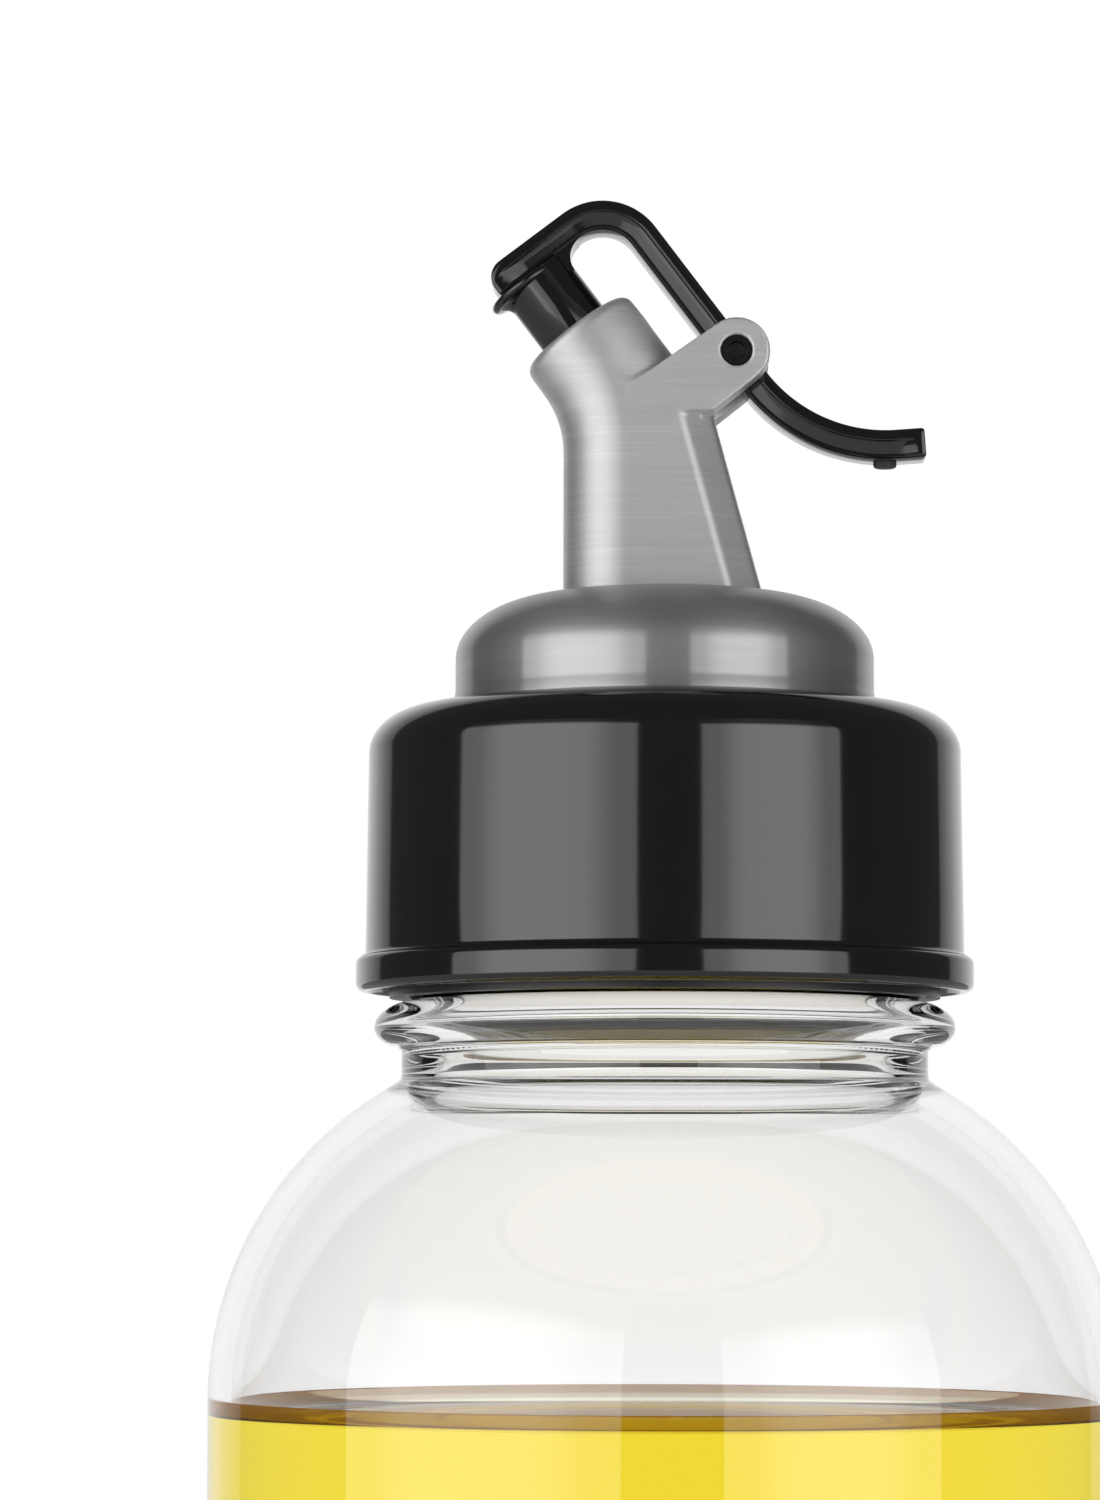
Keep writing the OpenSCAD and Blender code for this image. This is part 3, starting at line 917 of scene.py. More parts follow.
    @staticmethod
    def settle(piece: bpy.types.Object, matrix: Matrix) -> bpy.types.Object:
        """Moves a piece's mesh to its place, and keeps the object itself at the origin.

        Args:
            piece: The object, built at the origin.
            matrix: Its place, in metres.

        Returns:
            The same object.
        """
        Bench.only(piece)
        piece.matrix_world = matrix
        bpy.ops.object.transform_apply(location=True, rotation=True, scale=True)
        return piece


# ---------------------------------------------------------------- sub-assemblies


@dataclass
class Bottle:
    """The glass and the oil in it."""

    body_r: float = 45.3
    body_h: float = 114.2
    side_zs: tuple[float, ...] = (30.0, 60.0, 90.0)
    shoulder_r: float = 35.8
    wall: float = 2.35
    base_t: float = 6.0
    punt: float = 2.4
    heel_r: float = 6.0
    neck_r: float = 26.25
    neck_bore_r: float = 23.0
    bead_r: float = 29.0
    bead_h: float = 4.7
    bead_peak: float = 0.42
    bead_wall: float = 3.25
    neck_h: float = 3.3
    finish_r: float = 24.2
    finish_bore_r: float = 20.9
    finish_h: float = 28.9
    lip_round: float = 0.8
    thread_pitch: float = 6.0
    thread_turns: float = 1.7
    thread_out: float = 0.9
    thread_root: float = 0.5
    thread_half: float = 1.2
    thread_rise: float = 6.6
    thread_steps: int = 96
    oil_level: float = 113.2
    oil_overlap: float = 0.12
    oil_sunk: float = 0.6
    oil_climb: float = 1.2
    sides: int = 160

    @property
    def shoulder_x(self) -> float:
        """Distance of the shoulder's centre from the axis."""
        return self.body_r - self.shoulder_r

    @property
    def neck_z(self) -> float:
        """Height at which the shoulder meets the neck."""
        return self.body_h + math.sqrt(self.shoulder_r**2 - (self.neck_r - self.shoulder_x) ** 2)

    @property
    def bead_z(self) -> float:
        """Height of the bead's bottom."""
        return self.neck_z + self.neck_h

    @property
    def bead_top(self) -> float:
        """Height of the bead's top."""
        return self.bead_z + self.bead_h

    @property
    def peak_z(self) -> float:
        """Height at which the bead is widest."""
        return self.bead_z + self.bead_h * self.bead_peak

    @property
    def lip_z(self) -> float:
        """Height of the glass lip."""
        return self.bead_z + self.finish_h

    def outside(self) -> list[Point2]:
        """The outer profile, from the middle of the foot to the lip.

        Returns:
            (radius, height) points.
        """
        foot_r, neck_r, finish_r = self.body_r - self.heel_r, self.neck_r, self.finish_r
        peak_z, lip_round = self.peak_z, self.lip_round
        shoulder = (self.shoulder_x, self.body_h)
        top_angle = math.degrees(math.acos((neck_r - self.shoulder_x) / self.shoulder_r))
        foot = [(0.0, self.punt), (foot_r * 0.4, self.punt * 0.92)]
        foot += [(foot_r * 0.7, self.punt * 0.75), (foot_r - 5.0, self.punt * 0.5)]
        foot += [(foot_r - 2.4, 0.25), (foot_r - 1.9, 0.0), (foot_r - 0.3, 0.0)]
        neck = [(neck_r + 0.12, self.neck_z + 0.05), (neck_r, self.neck_z + 0.6)]
        neck += [(neck_r, self.bead_z - 0.4)]
        return (
            foot
            + arc((foot_r, self.heel_r), self.heel_r, self.heel_r, -85, 0, 10)
            + [(self.body_r, z) for z in self.side_zs]
            + arc(shoulder, self.shoulder_r, self.shoulder_r, 0, top_angle - 1.5, 30)
            + neck
            + arc((neck_r, peak_z), self.bead_r - neck_r, peak_z - self.bead_z, -80, 0, 8)
            + arc((finish_r, peak_z), self.bead_r - finish_r, self.bead_top - peak_z, 10, 88, 10)
            + [(finish_r, self.bead_top + 0.3), (finish_r, self.lip_z - lip_round - 0.1)]
            + arc((finish_r - lip_round, self.lip_z - lip_round), lip_round, lip_round, 10, 90, 5)
        )

    def inside(self) -> list[Point2]:
        """The inner profile, from the lip to the middle of the floor.

        Returns:
            (radius, height) points.
        """
        inner_r, inner_sr = self.body_r - self.wall, self.shoulder_r - self.wall
        neck_r, bore_r = self.neck_bore_r, self.finish_bore_r
        peak_z, bulge_r = self.peak_z, self.bead_r - self.bead_wall
        angle = math.degrees(math.acos((neck_r - self.shoulder_x) / inner_sr))
        top = self.body_h + math.sqrt(inner_sr**2 - (neck_r - self.shoulder_x) ** 2)
        lip = (bore_r + self.lip_round, self.lip_z - self.lip_round)
        heel = (inner_r - self.heel_r, self.base_t + self.heel_r)
        return (
            arc(lip, self.lip_round, self.lip_round, 90, 180, 5)
            + [(bore_r, self.bead_top + 1.6), (bore_r + 0.12, self.bead_top + 0.5)]
            + arc((bore_r, peak_z), bulge_r - bore_r, self.bead_top - peak_z, 80, 0, 10)
            + arc((neck_r, peak_z), bulge_r - neck_r, peak_z - self.bead_z, -10, -80, 8)
            + [(neck_r, self.bead_z - 0.4), (neck_r, top + 0.6), (neck_r + 0.2, top - 0.1)]
            + arc((self.shoulder_x, self.body_h), inner_sr, inner_sr, angle - 1.5, 0, 30)
            + [(inner_r, z) for z in reversed(self.side_zs)]
            + arc(heel, self.heel_r, self.heel_r, 0, -85, 10)
            + [(inner_r * 0.6, self.base_t + self.punt * 0.7), (0.0, self.base_t + self.punt)]
        )

    def build_glass(self) -> bpy.types.Object:
        """Turns the glass and winds its screw thread round the finish.

        Returns:
            The finished glass.
        """
        profile = self.outside() + self.inside()
        glass = Bench.turned("bottle_glass", profile, self.sides, 50)
        Bench.fuse(glass, self.build_thread())
        return Bench.finish(glass, 50)

    def dress(self, paint: Paint) -> None:
        """Mounts the glass and the oil."""
        paint.mount(self.build_glass(), "bottle", Kit.GLASS, "glass_bottle")
        paint.mount(self.build_oil(), "bottle", Kit.OIL, "oil_fill")

    def build_thread(self) -> bpy.types.Object:
        """Winds the ridge of the screw thread, closed at both ends.

        Returns:
            The finished ridge.
        """
        half, low = self.thread_half, self.bead_top + self.thread_rise
        root, crest = self.finish_r - self.thread_root, self.finish_r + self.thread_out
        section = [(root, -half), (root, half), (crest, half * 0.5), (crest, -half * 0.5)]
        ridge = Bench.loop("finish_thread", [(r, 0.0, low + z) for r, z in section])
        Bench.modify(
            ridge,
            "SCREW",
            axis="Z",
            angle=2 * math.pi * self.thread_turns,
            screw_offset=self.thread_pitch * self.thread_turns * MM,
            steps=self.thread_steps,
            render_steps=self.thread_steps,
            use_merge_vertices=False,
        )
        Bench.cap(ridge, len(section))
        return Bench.finish(ridge)

    def build_oil(self) -> bpy.types.Object:
        """Turns the oil, whose skin lies just inside the glass so that the two meet as one.

        Returns:
            The finished oil.
        """
        inner_r, out = self.body_r - self.wall, self.oil_overlap
        sr, heel_r = self.shoulder_r - self.wall + out, self.heel_r + out
        skin, contact = self.oil_level - self.oil_sunk, self.oil_level + self.oil_climb
        edge = self.shoulder_x + math.sqrt(sr**2 - (contact - self.body_h) ** 2)
        floor = self.base_t + self.punt
        heel = (inner_r - self.heel_r, self.base_t + self.heel_r)
        climb = ((0.6, 1.3), (1.3, 0.8), (2.2, 0.35), (3.1, 0.1), (4.4, 0.0))
        profile = (
            [(0.0, floor - out), (inner_r * 0.6, self.base_t + self.punt * 0.7 - out)]
            + arc(heel, heel_r, heel_r, -85, 0, 10)
            + [(inner_r + out, z) for z in (*self.side_zs, self.body_h)]
            + [(edge, contact)]
            + [(edge - way, skin + rise) for way, rise in climb]
            + [(20.0, skin), (0.0, skin)]
        )
        return Bench.turned("cooking_oil", profile, self.sides, 60)


@dataclass
class Collar:
    """The black screw collar."""

    side_r: float = 29.65
    foot_r: float = 29.9
    rim_r: float = 30.85
    rim_z: float = 154.64
    rim_h: float = 3.5
    rim_round: float = 0.9
    rim_top_round: float = 0.7
    lip_w: float = 1.4
    groove_h: float = 2.4
    ring_r: float = 27.52
    top_z: float = 183.04
    plate_z: float = 180.84
    plate_gap: float = 0.02
    round_w: float = 5.8
    round_h: float = 4.5
    hole_r: float = 19.2
    edge: float = 0.3
    sides: int = 160

    def build(self) -> bpy.types.Object:
        """Turns the collar in one piece, with its flange and the groove behind the flange.

        Returns:
            The finished collar.
        """
        rim_top, low = self.rim_z + self.rim_h, self.rim_r - self.lip_w
        groove_z, plate_z = self.rim_z + self.groove_h, self.plate_z + self.plate_gap
        r, t, edge = self.rim_round, self.rim_top_round, self.edge
        shoulder = (self.side_r - self.round_w, self.top_z - self.round_h)
        profile = (
            [(self.ring_r, groove_z), (low - edge, groove_z), (low, groove_z - edge)]
            + [(low, self.rim_z + edge), (low + 0.2, self.rim_z + 0.02)]
            + arc((self.rim_r - r, self.rim_z + r), r, r, -88, 0, 7)
            + arc((self.rim_r - t, rim_top - t), t, t, 0, 75, 5)
            + arc((self.foot_r + 0.62, rim_top + 0.5), 0.62, 0.5, 255, 180, 4)
            + [(self.foot_r - 0.06, rim_top + 5), (self.side_r + 0.08, rim_top + 14)]
            + arc(shoulder, self.round_w, self.round_h, 0, 90, 22)
            + [(self.hole_r + edge, self.top_z), (self.hole_r, self.top_z - edge)]
            + [(self.hole_r, plate_z), (self.ring_r, plate_z)]
        )
        return Bench.turned("screw_collar", profile, self.sides, 50, ring=True)

    def dress(self, paint: Paint) -> None:
        """Mounts the collar."""
        paint.mount(self.build(), "collar", Kit.GLOSS, "collar_shell")


@dataclass
class Dome:
    """The steel dome."""

    side_r: float = 21.0
    sheet: float = 0.8
    flare: float = 0.18
    roll_r: float = 0.2
    low_z: float = 183.24
    bend_z: float = 188.04
    top_z: float = 194.44
    flat_r: float = 10.4
    hole_r: float = 5.02
    hole_x: float = -3.8
    sides: int = 160

    def build(self) -> bpy.types.Object:
        """Turns the dome from sheet, with a rolled lower edge, and cuts the spout's hole.

        Returns:
            The finished dome.
        """
        rise, width, t = self.top_z - self.bend_z, self.side_r - self.flat_r, self.sheet
        side, low, flat, roll = self.side_r, self.low_z, self.flat_r - 1.0, self.roll_r
        bend = (self.flat_r, self.bend_z)
        inner = [(0.0, self.top_z - t), (flat, self.top_z - t)]
        inner += arc(bend, width - t, rise - t, 89, 0, 20)
        outer = (
            [(side - t, low + 0.15), (side - t + 0.15, low), (side + self.flare - 0.25, low)]
            + arc((side + self.flare - roll, low + roll), roll, roll, -60, 20, 4)
            + [(side + self.flare * 0.75, low + 0.9), (side + 0.02, low + 1.25)]
            + [(side, low + 1.6)]
            + arc(bend, width, rise, 0, 89, 26)
            + [(flat, self.top_z), (0.0, self.top_z)]
        )
        dome = Bench.turned("steel_dome", inner + outer, self.sides, 50)
        bpy.ops.mesh.primitive_cylinder_add(
            vertices=64,
            radius=self.hole_r * MM,
            depth=4 * MM,
            location=(self.hole_x * MM, 0, self.top_z * MM),
        )
        Bench.cut(dome, bpy.context.object)
        return Bench.finish(dome, 50)

    def dress(self, paint: Paint) -> None:
        """Mounts the dome."""
        paint.mount(self.build(), "pourer", Kit.DOME_STEEL, "dome_cover")


@dataclass
class Layout:
    """Where the nozzle and the lever's pivot are."""

    tube_x: float = -3.8
    elbow_z: float = 214.54
    length: float = 8.6
    tilt: float = 37.0
    pivot_x: float = 7.2
    pivot_z: float = 218.54

    @property
    def up(self) -> Vector:
        """The nozzle's direction."""
        a = math.radians(self.tilt)
        return Vector((-math.sin(a), 0, math.cos(a)))

    @property
    def across(self) -> Vector:
        """The direction across the nozzle, up and to the right."""
        return heading(self.tilt)

    @property
    def mouth(self) -> Vector:
        """The middle of the mouth."""
        return Vector((self.tube_x, 0, self.elbow_z)) + self.up * self.length

    @property
    def frame(self) -> Matrix:
        """Takes a mesh drawn about +Z to the nozzle, with zero at the mouth."""
        turn = Matrix.Rotation(-math.radians(self.tilt), 4, "Y")
        return Matrix.Translation(self.mouth * MM) @ turn

    @property
    def pivot(self) -> Vector:
        """The middle of the lever's pivot."""
        return Vector((self.pivot_x, 0, self.pivot_z))

    @property
    def axle(self) -> Matrix:
        """Takes a mesh drawn about +Z to the pivot, along the pin."""
        return Matrix.Translation(self.pivot * MM) @ Matrix.Rotation(math.pi / 2, 4, "X")


@dataclass
class Spout:
    """The steel stem, nozzle and yoke in one piece."""

    layout: Layout = field(default_factory=Layout)
    tube_r: float = 6.4
    nozzle_r: float = 6.35
    bend_r: float = 16.4
    bend_steps: int = 14
    mouth_round: float = 1.0
    mouth_steps: int = 7
    foot_z: float = 194.44
    reach: float = 9.8
    lean: float = 15.2
    corner_r: float = 3.75
    fold_r: float = 1.5
    tip_r: float = 1.4
    tip_y: float = 2.9
    slant: float = 40.0
    crook: Point2 = (4.92, 212.46)
    saddle: Point2 = (-3.8, 214.93)
    yoke_left: Point2 = (0.2, 212.46)
    yoke_under: Point2 = (9.28, 215.91)
    yoke_r: float = 3.35
    pin_r: float = 1.57
    slot_w: float = 5.4
    slot_half: float = 1.9
    slot_edge: float = 0.7
    slot_rise: float = 8.0
    arm_closed: float = 127.0
    arm_pressed: float = -95.0
    hub_room: float = 3.5
    bore_r: float = 3.55
    nozzle_bore_r: float = 3.4
    recess_r: float = 5.05
    recess_h: float = 5.0
    spigot_r: float = 5.0
    spigot_zs: Point2 = (185.34, 196.0)
    overlap: float = 0.8
    voxel: float = 0.22

    @property
    def slope(self) -> float:
        """How far the stem's right edge leans, for each millimetre of height."""
        return math.tan(math.radians(self.lean))

    def _on_axis(self, height: float) -> Vector:
        """A point on the stem tube's axis."""
        return Vector((self.layout.tube_x, 0, height))

    def _tube(self) -> bpy.types.Object:
        """The round stem, bent over into the nozzle, with a round edge at the mouth.

        Returns:
            The closed tube, without its bore.
        """
        n, r = self.layout, self.mouth_round
        tangent = self.bend_r * math.tan(math.radians(n.tilt) / 2)
        bend_z = n.elbow_z - tangent
        Bench.clear()
        bpy.ops.mesh.primitive_circle_add(
            vertices=96,
            radius=self.tube_r * MM,
            fill_type="NGON",
            location=(n.tube_x * MM, 0, self.foot_z * MM),
        )
        bpy.ops.object.transform_apply(location=True, rotation=True, scale=True)
        tube = Bench.start("spout_tube")
        Bench.extrude((0, 0, (bend_z - self.foot_z) * MM))
        centre = Vector((n.tube_x - self.bend_r, 0, bend_z))
        bend = arc((0, 0), self.bend_r, self.bend_r, 0, n.tilt, self.bend_steps)
        spots = [centre + Vector((x, 0, z)) for x, z in bend]
        for start, end in zip(spots, spots[1:]):
            Bench.carry(end - start, n.tilt / self.bend_steps, end)
        Bench.extrude(n.up * (n.length - tangent - r) * MM)
        grown = self.nozzle_r / self.tube_r
        centre = (n.mouth - n.up * r) * MM
        bpy.ops.transform.resize(value=(grown,) * 3, center_override=centre)
        width = self.nozzle_r
        for i in range(1, self.mouth_steps + 1):
            a0, a1 = (math.radians(90 * j / self.mouth_steps) for j in (i - 1, i))
            new = self.nozzle_r - r + r * math.cos(a1)
            Bench.extrude(n.up * (r * (math.sin(a1) - math.sin(a0))) * MM)
            centre = (n.mouth - n.up * (r - r * math.sin(a1))) * MM
            bpy.ops.transform.resize(value=(new / width,) * 3, center_override=centre)
            width = new
        return Bench.finish(tube)

    def build(self) -> bpy.types.Object:
        """Joins tube, stem and yoke, cuts the slot and the holes, and softens every edge.

        Returns:
            The finished spout.
        """
        n, foot_z, lean = self.layout, self.foot_z, self.slope
        top_z = self.crook[1] + 1.2
        corner = self.corner_r / math.cos(math.radians(self.lean))
        body = self._tube()
        elbow = n.mouth - n.up * n.length
        end = n.mouth - n.up * self.mouth_round
        Bench.fuse(body, Bench.rod("nozzle", elbow - n.up * self.overlap, end, self.nozzle_r))
        fold = [(self.reach - (z - foot_z) * lean - corner, z) for z in (foot_z, top_z)]
        stem = [(n.tube_x, foot_z), *fold, self.saddle]
        Bench.fuse(body, Bench.plate("stem_slab", stem, 2 * self.tube_r))
        Bench.fuse(body, self._nose(top_z - foot_z, corner))
        ear = arc((0, 0), self.yoke_r, self.yoke_r, -51.6, 125, 24)
        yoke = [self.saddle, self.yoke_left, self.crook, self.yoke_under]
        yoke += [(n.pivot_x + x, n.pivot_z + z) for x, z in ear]
        Bench.fuse(body, Bench.plate("yoke", yoke, 2 * self.tube_r))
        self._hollow(body)
        Bench.modify(body, "REMESH", mode="VOXEL", voxel_size=self.voxel * MM, adaptivity=0.0)
        Bench.modify(body, "SMOOTH", factor=0.5, iterations=6)
        low, high = (self._on_axis(z) for z in self.spigot_zs)
        spigot = Bench.rod("spigot", low, high, self.spigot_r)
        Bench.cut(spigot, Bench.rod("bore", self._on_axis(184), self._on_axis(197), self.bore_r))
        return Bench.add(Bench.finish(body, 60), Bench.finish(spigot, 40))

    def dress(self, paint: Paint) -> None:
        """Mounts the spout."""
        paint.mount(self.build(), "pourer", Kit.STEEL, "spout_body")

    def _nose(self, height: float, corner: float) -> bpy.types.Object:
        """The stem's right side: a tight fold on each face, two slanted flats and a round edge.

        Args:
            height: Its height, in millimetres.
            corner: How far the fold lies in from the right edge.

        Returns:
            The closed piece, which leans as the stem does.
        """
        fold, tip, half_w = self.fold_r, self.tip_r, self.tube_r
        fold_x, tip_x = self.reach - corner, self.reach - tip
        quarter = [(fold_x - 1.5, half_w)]
        quarter += arc((fold_x, half_w - fold), fold, fold, 90, 90 - self.slant, 5)
        quarter += arc((tip_x, self.tip_y), tip, tip, 90 - self.slant, 0, 5)
        outline = quarter + [(x, -y) for x, y in reversed(quarter)]
        corners = [(x, y, self.foot_z) for x, y in outline]
        return Bench.slab("stem_nose", corners, Vector((-self.slope, 0, 1)) * height * MM)

    def _hollow(self, body: bpy.types.Object) -> None:
        """Cuts the foot flat, and then the slot, the pin's hole, the bores and the recess.

        Args:
            body: The joined solid.
        """
        n, foot_z, over = self.layout, self.foot_z, self.overlap
        pin, front = n.pivot, Vector((0, 10, 0))
        under = [(-30, foot_z - 20), (30, foot_z - 20), (30, foot_z), (-30, foot_z)]
        past, inner = n.mouth + n.up, n.mouth - n.up * (n.length + over)
        low, elbow = self._on_axis(190), self._on_axis(n.elbow_z + over)
        Bench.cut(body, Bench.plate("foot_cut", under, 60))
        Bench.cut(body, self._slot())
        Bench.cut(body, Bench.rod("pin_hole", pin - front, pin + front, self.pin_r))
        Bench.cut(body, Bench.rod("bore", low, elbow, self.bore_r))
        Bench.cut(body, Bench.rod("bore", inner, past, self.nozzle_bore_r))
        Bench.cut(body, Bench.rod("recess", n.mouth - n.up * self.recess_h, past, self.recess_r))

    def _slot(self) -> bpy.types.Object:
        """Makes the cutter for the lever's room between the cheeks.

        Returns:
            The cutter.
        """
        pivot, half, edge, rise = self.layout.pivot, self.slot_half, self.slot_edge, self.slot_rise
        closed, pressed = heading(self.arm_closed), heading(self.arm_pressed)
        across, off = Vector((-closed.z, 0, closed.x)), Vector((-pressed.z, 0, pressed.x))
        floor_z, far_x, high_z = self.foot_z + rise, 40, 260
        spots = [pivot + closed * 30 + across * half, pivot + closed * 3 + across * half]
        spots += [pivot + heading(a) * self.hub_room for a in range(165, 230, 10)]
        spots += [pivot - off * half + pressed * 2.9, pivot - off * half + pressed * 7]
        ends = [(self.crook[0] - edge, self.crook[1])]
        ends += [(self.reach - edge - rise * self.slope, floor_z)]
        ends += [(far_x, floor_z), (far_x, high_z)]
        spots += [Vector((x, 0, z)) for x, z in ends]
        return Bench.plate("slot", [(spot.x, spot.z) for spot in spots], self.slot_w)


@dataclass
class Lever:
    """The thumb lever, its stopper, its pin and its bumper."""

    layout: Layout = field(default_factory=Layout)
    width: float = 5.0
    thick: float = 3.0
    arm: float = 15.5
    bend_r: float = 5.2
    bend_steps: int = 24
    nose: float = 10.0
    root: float = 3.0
    tail_r: float = 16.5
    tail_steps: int = 28
    rise: float = 4.0
    end: float = 2.85
    sink: float = 0.46
    edge_r: float = 0.3
    side_r: float = 0.4
    tip_r: float = 2.0
    hub_r: float = 3.1
    stopper_r: float = 3.8
    under: float = 7.17
    disc_r: float = 4.3
    disc_off: float = 1.1
    pin_half: float = 6.1
    pin_r: float = 1.55
    bumper_h: float = 0.6

    @property
    def arm_way(self) -> float:
        """Heading of the straight arm, from the bend to the pivot."""
        return self.layout.tilt - 90

    @property
    def bend_c(self) -> Vector:
        """Centre of the bend."""
        way, left = heading(self.arm_way), heading(self.arm_way + 90)
        return self.layout.pivot - self.arm * way - self.bend_r * left

    @property
    def tail_c(self) -> Vector:
        """Centre of the tail's curve."""
        way, left = heading(self.arm_way), heading(self.arm_way + 90)
        return self.layout.pivot + self.root * way + self.tail_r * left

    def _route(self) -> list[tuple[Vector, float]]:
        """Lays stations along the middle of the strap, from nose to tail.

        Returns:
            The middle of each station, with its heading in degrees.
        """
        tilt, way, rise = self.layout.tilt, self.arm_way, self.rise
        root = self.bend_c + self.bend_r * heading(tilt + 90)
        near = (0.0, 0.04, 0.12, 0.3, 0.5, 0.7, 1.0, 1.4, 1.8, 2.3, 2.9, 4.0, 6.0, 8.0, 9.7)
        stations = [(root - heading(tilt) * (self.nose - d), tilt) for d in near]
        for i in range(self.bend_steps + 1):
            a = tilt - 90 * i / self.bend_steps
            stations.append((self.bend_c + self.bend_r * heading(a + 90), a))
        along = (12.0, 8.0, 4.0, 0.0, -2.0)
        stations += [(self.layout.pivot - heading(way) * d, way) for d in along]
        for i in range(self.tail_steps + 1):
            a = way + (rise - way) * i / self.tail_steps
            stations.append((self.tail_c - self.tail_r * heading(a + 90), a))
        last = self.tail_c - self.tail_r * heading(rise + 90)
        near = (2.4, 2.0, 1.5, 1.0, 0.7, 0.5, 0.3, 0.12, 0.04, 0.0)
        return stations + [(last + heading(rise) * (self.end - d), rise) for d in near]

    def _section(self) -> list[Point2]:
        """Draws one side of the strap's section, from top to bottom.

        Returns:
            Points of height over its middle and depth from its side.
        """
        half, floor, r = self.thick / 2, self.sink, self.side_r
        top = arc((half - r, r), r, r, 0, 90, 4)
        low = arc((r - half, r), r, r, 90, 180, 4)[1:]
        return (
            [(b, r - (d - r)) for b, d in top]
            + [(0.52, 0.0), (0.42, 0.03), (0.34, 0.12), (0.30, 0.35 * floor), (0.22, 0.42 * floor)]
            + [(-0.2, 0.62 * floor), (-0.6, 0.82 * floor)]
            + [(-0.98, floor), (-1.02, 0.4 * floor), (-1.05, 0.03)]
            + [(b, r - (d - r)) for b, d in low]
        )

    def _press(self, strap: bpy.types.Object, stations: Sequence[tuple[Vector, float]]) -> None:
        """Gives each ring its section: sunk sides that rise at both ends, and round corners.

        Args:
            strap: The swept strap, out of edit mode.
            stations: Its stations.
        """
        section = self._section()
        count, half, r = 2 * len(section), self.thick / 2, self.edge_r
        ways = [0.0]
        for (p0, _), (p1, _) in zip(stations, stations[1:]):
            ways.append(ways[-1] + (p1 - p0).length)
        for ring, (spot, way) in enumerate(stations):
            left = heading(way + 90)
            nose, tail = ways[ring], ways[-1] - ways[ring]
            near = min(nose, tail)
            deep = min(1.0, max(0.0, (near - 0.7) / 2.2))
            edge = r - math.sqrt(r * r - max(0.0, r - near) ** 2)
            short = max(0.0, self.tip_r - nose)
            drop = self.tip_r - math.sqrt(self.tip_r**2 - short**2)
            top = half - max(drop, edge)
            for i, (b, d) in enumerate(section + section[::-1]):
                d = d * deep if -1.06 < b < 0.45 else d
                b = -half + edge + (b + half) * (top + half - edge) / self.thick
                y = (self.width / 2 - max(d, edge)) * (-1 if i < len(section) else 1)
                corner = spot + left * b + Vector((0, y, 0))
                strap.data.vertices[ring * count + i].co = corner * MM

    def build_strap(self) -> bpy.types.Object:
        """Sweeps the strap, presses its sides in and adds the hub, the nose's disc and its web.

        Returns:
            The finished lever, without its stopper.
        """
        stations = self._route()
        count = 2 * len(self._section())
        Bench.clear()
        bpy.ops.mesh.primitive_circle_add(
            vertices=count, radius=self.thick / 2 * MM, location=stations[0][0] * MM
        )
        bpy.ops.object.transform_apply(location=True, rotation=True, scale=True)
        strap = Bench.start("lever_strap")
        for (p0, a0), (p1, a1) in zip(stations, stations[1:]):
            Bench.carry(p1 - p0, a1 - a0, p1)
        bpy.ops.object.mode_set(mode="OBJECT")
        self._press(strap, stations)
        Bench.cap(strap, count)
        Bench.finish(strap, 30)
        for extra in (self._hub(), self._disc(), self._web()):
            Bench.add(strap, extra)
        return strap

    @staticmethod
    def _mirrored(end: Sequence[Point2]) -> list[Point2]:
        """A profile with the same end below as above."""
        return [(x, -z) for x, z in reversed(end)] + list(end)

    def _hub(self) -> bpy.types.Object:
        """The round hub between the cheeks.

        Returns:
            The hub, at the pivot.
        """
        half, r = self.width / 2 - 0.02, self.hub_r
        profile = self._mirrored([(r, half - 0.15), (r - 0.15, half), (0.0, half)])
        return Bench.settle(Bench.turned("lever_hub", profile, 64, 30), self.layout.axle)

    def _disc(self) -> bpy.types.Object:
        """The flared disc under the nose, which stands a little towards the tip.

        Returns:
            The disc, at the nose.
        """
        top, r, foot = self.under, self.disc_r, self.stopper_r - self.disc_off - 0.1
        rim = 0.45
        profile = (
            [(0.0, top - 2.2), (foot, top - 2.2), (foot + 0.12, top - 1.95)]
            + arc((r - rim, top - 2.1), r - rim - foot - 0.12, 1.15, 165, 95, 6)
            + arc((r - rim, top - 0.5), rim, rim, -85, 75, 7)
            + [(r - 0.6, top + 0.02), (0.0, top + 0.02)]
        )
        off = Matrix.Translation((-self.disc_off * MM, 0, 0))
        return Bench.settle(Bench.turned("nose_disc", profile, 72, 40), self.layout.frame @ off)

    def _web(self) -> bpy.types.Object:
        """The web that carries the stopper's right side into the strap.

        Returns:
            The web, at the nose.
        """
        n, top, r = self.layout, self.under, self.stopper_r - 0.25
        spots = [(1.0, top + 0.3), (1.0, top - 2.3), (r, top - 2.3)]
        spots += arc((r + 2.4, top - 2.3), 2.4, 2.25, 178, 95, 8) + [(r + 2.4, top + 0.3)]
        outline = [n.mouth + n.across * a + n.up * b for a, b in spots]
        return Bench.plate("nose_fillet", [(p.x, p.z) for p in outline], self.width - 0.3)

    def build_stopper(self) -> bpy.types.Object:
        """Turns the stopper, which covers its pad.

        Returns:
            The stopper, at the mouth.
        """
        top, r = self.under, self.stopper_r
        profile = [(0.0, 0.06), (r - 0.2, 0.06)] + arc((r - 0.2, 0.26), 0.2, 0.2, -60, 0, 3)
        profile += [(r, 3.0), (r, top - 0.1), (0.0, top - 0.1)]
        return Bench.settle(Bench.turned("stopper", profile, 96, 40), self.layout.frame)

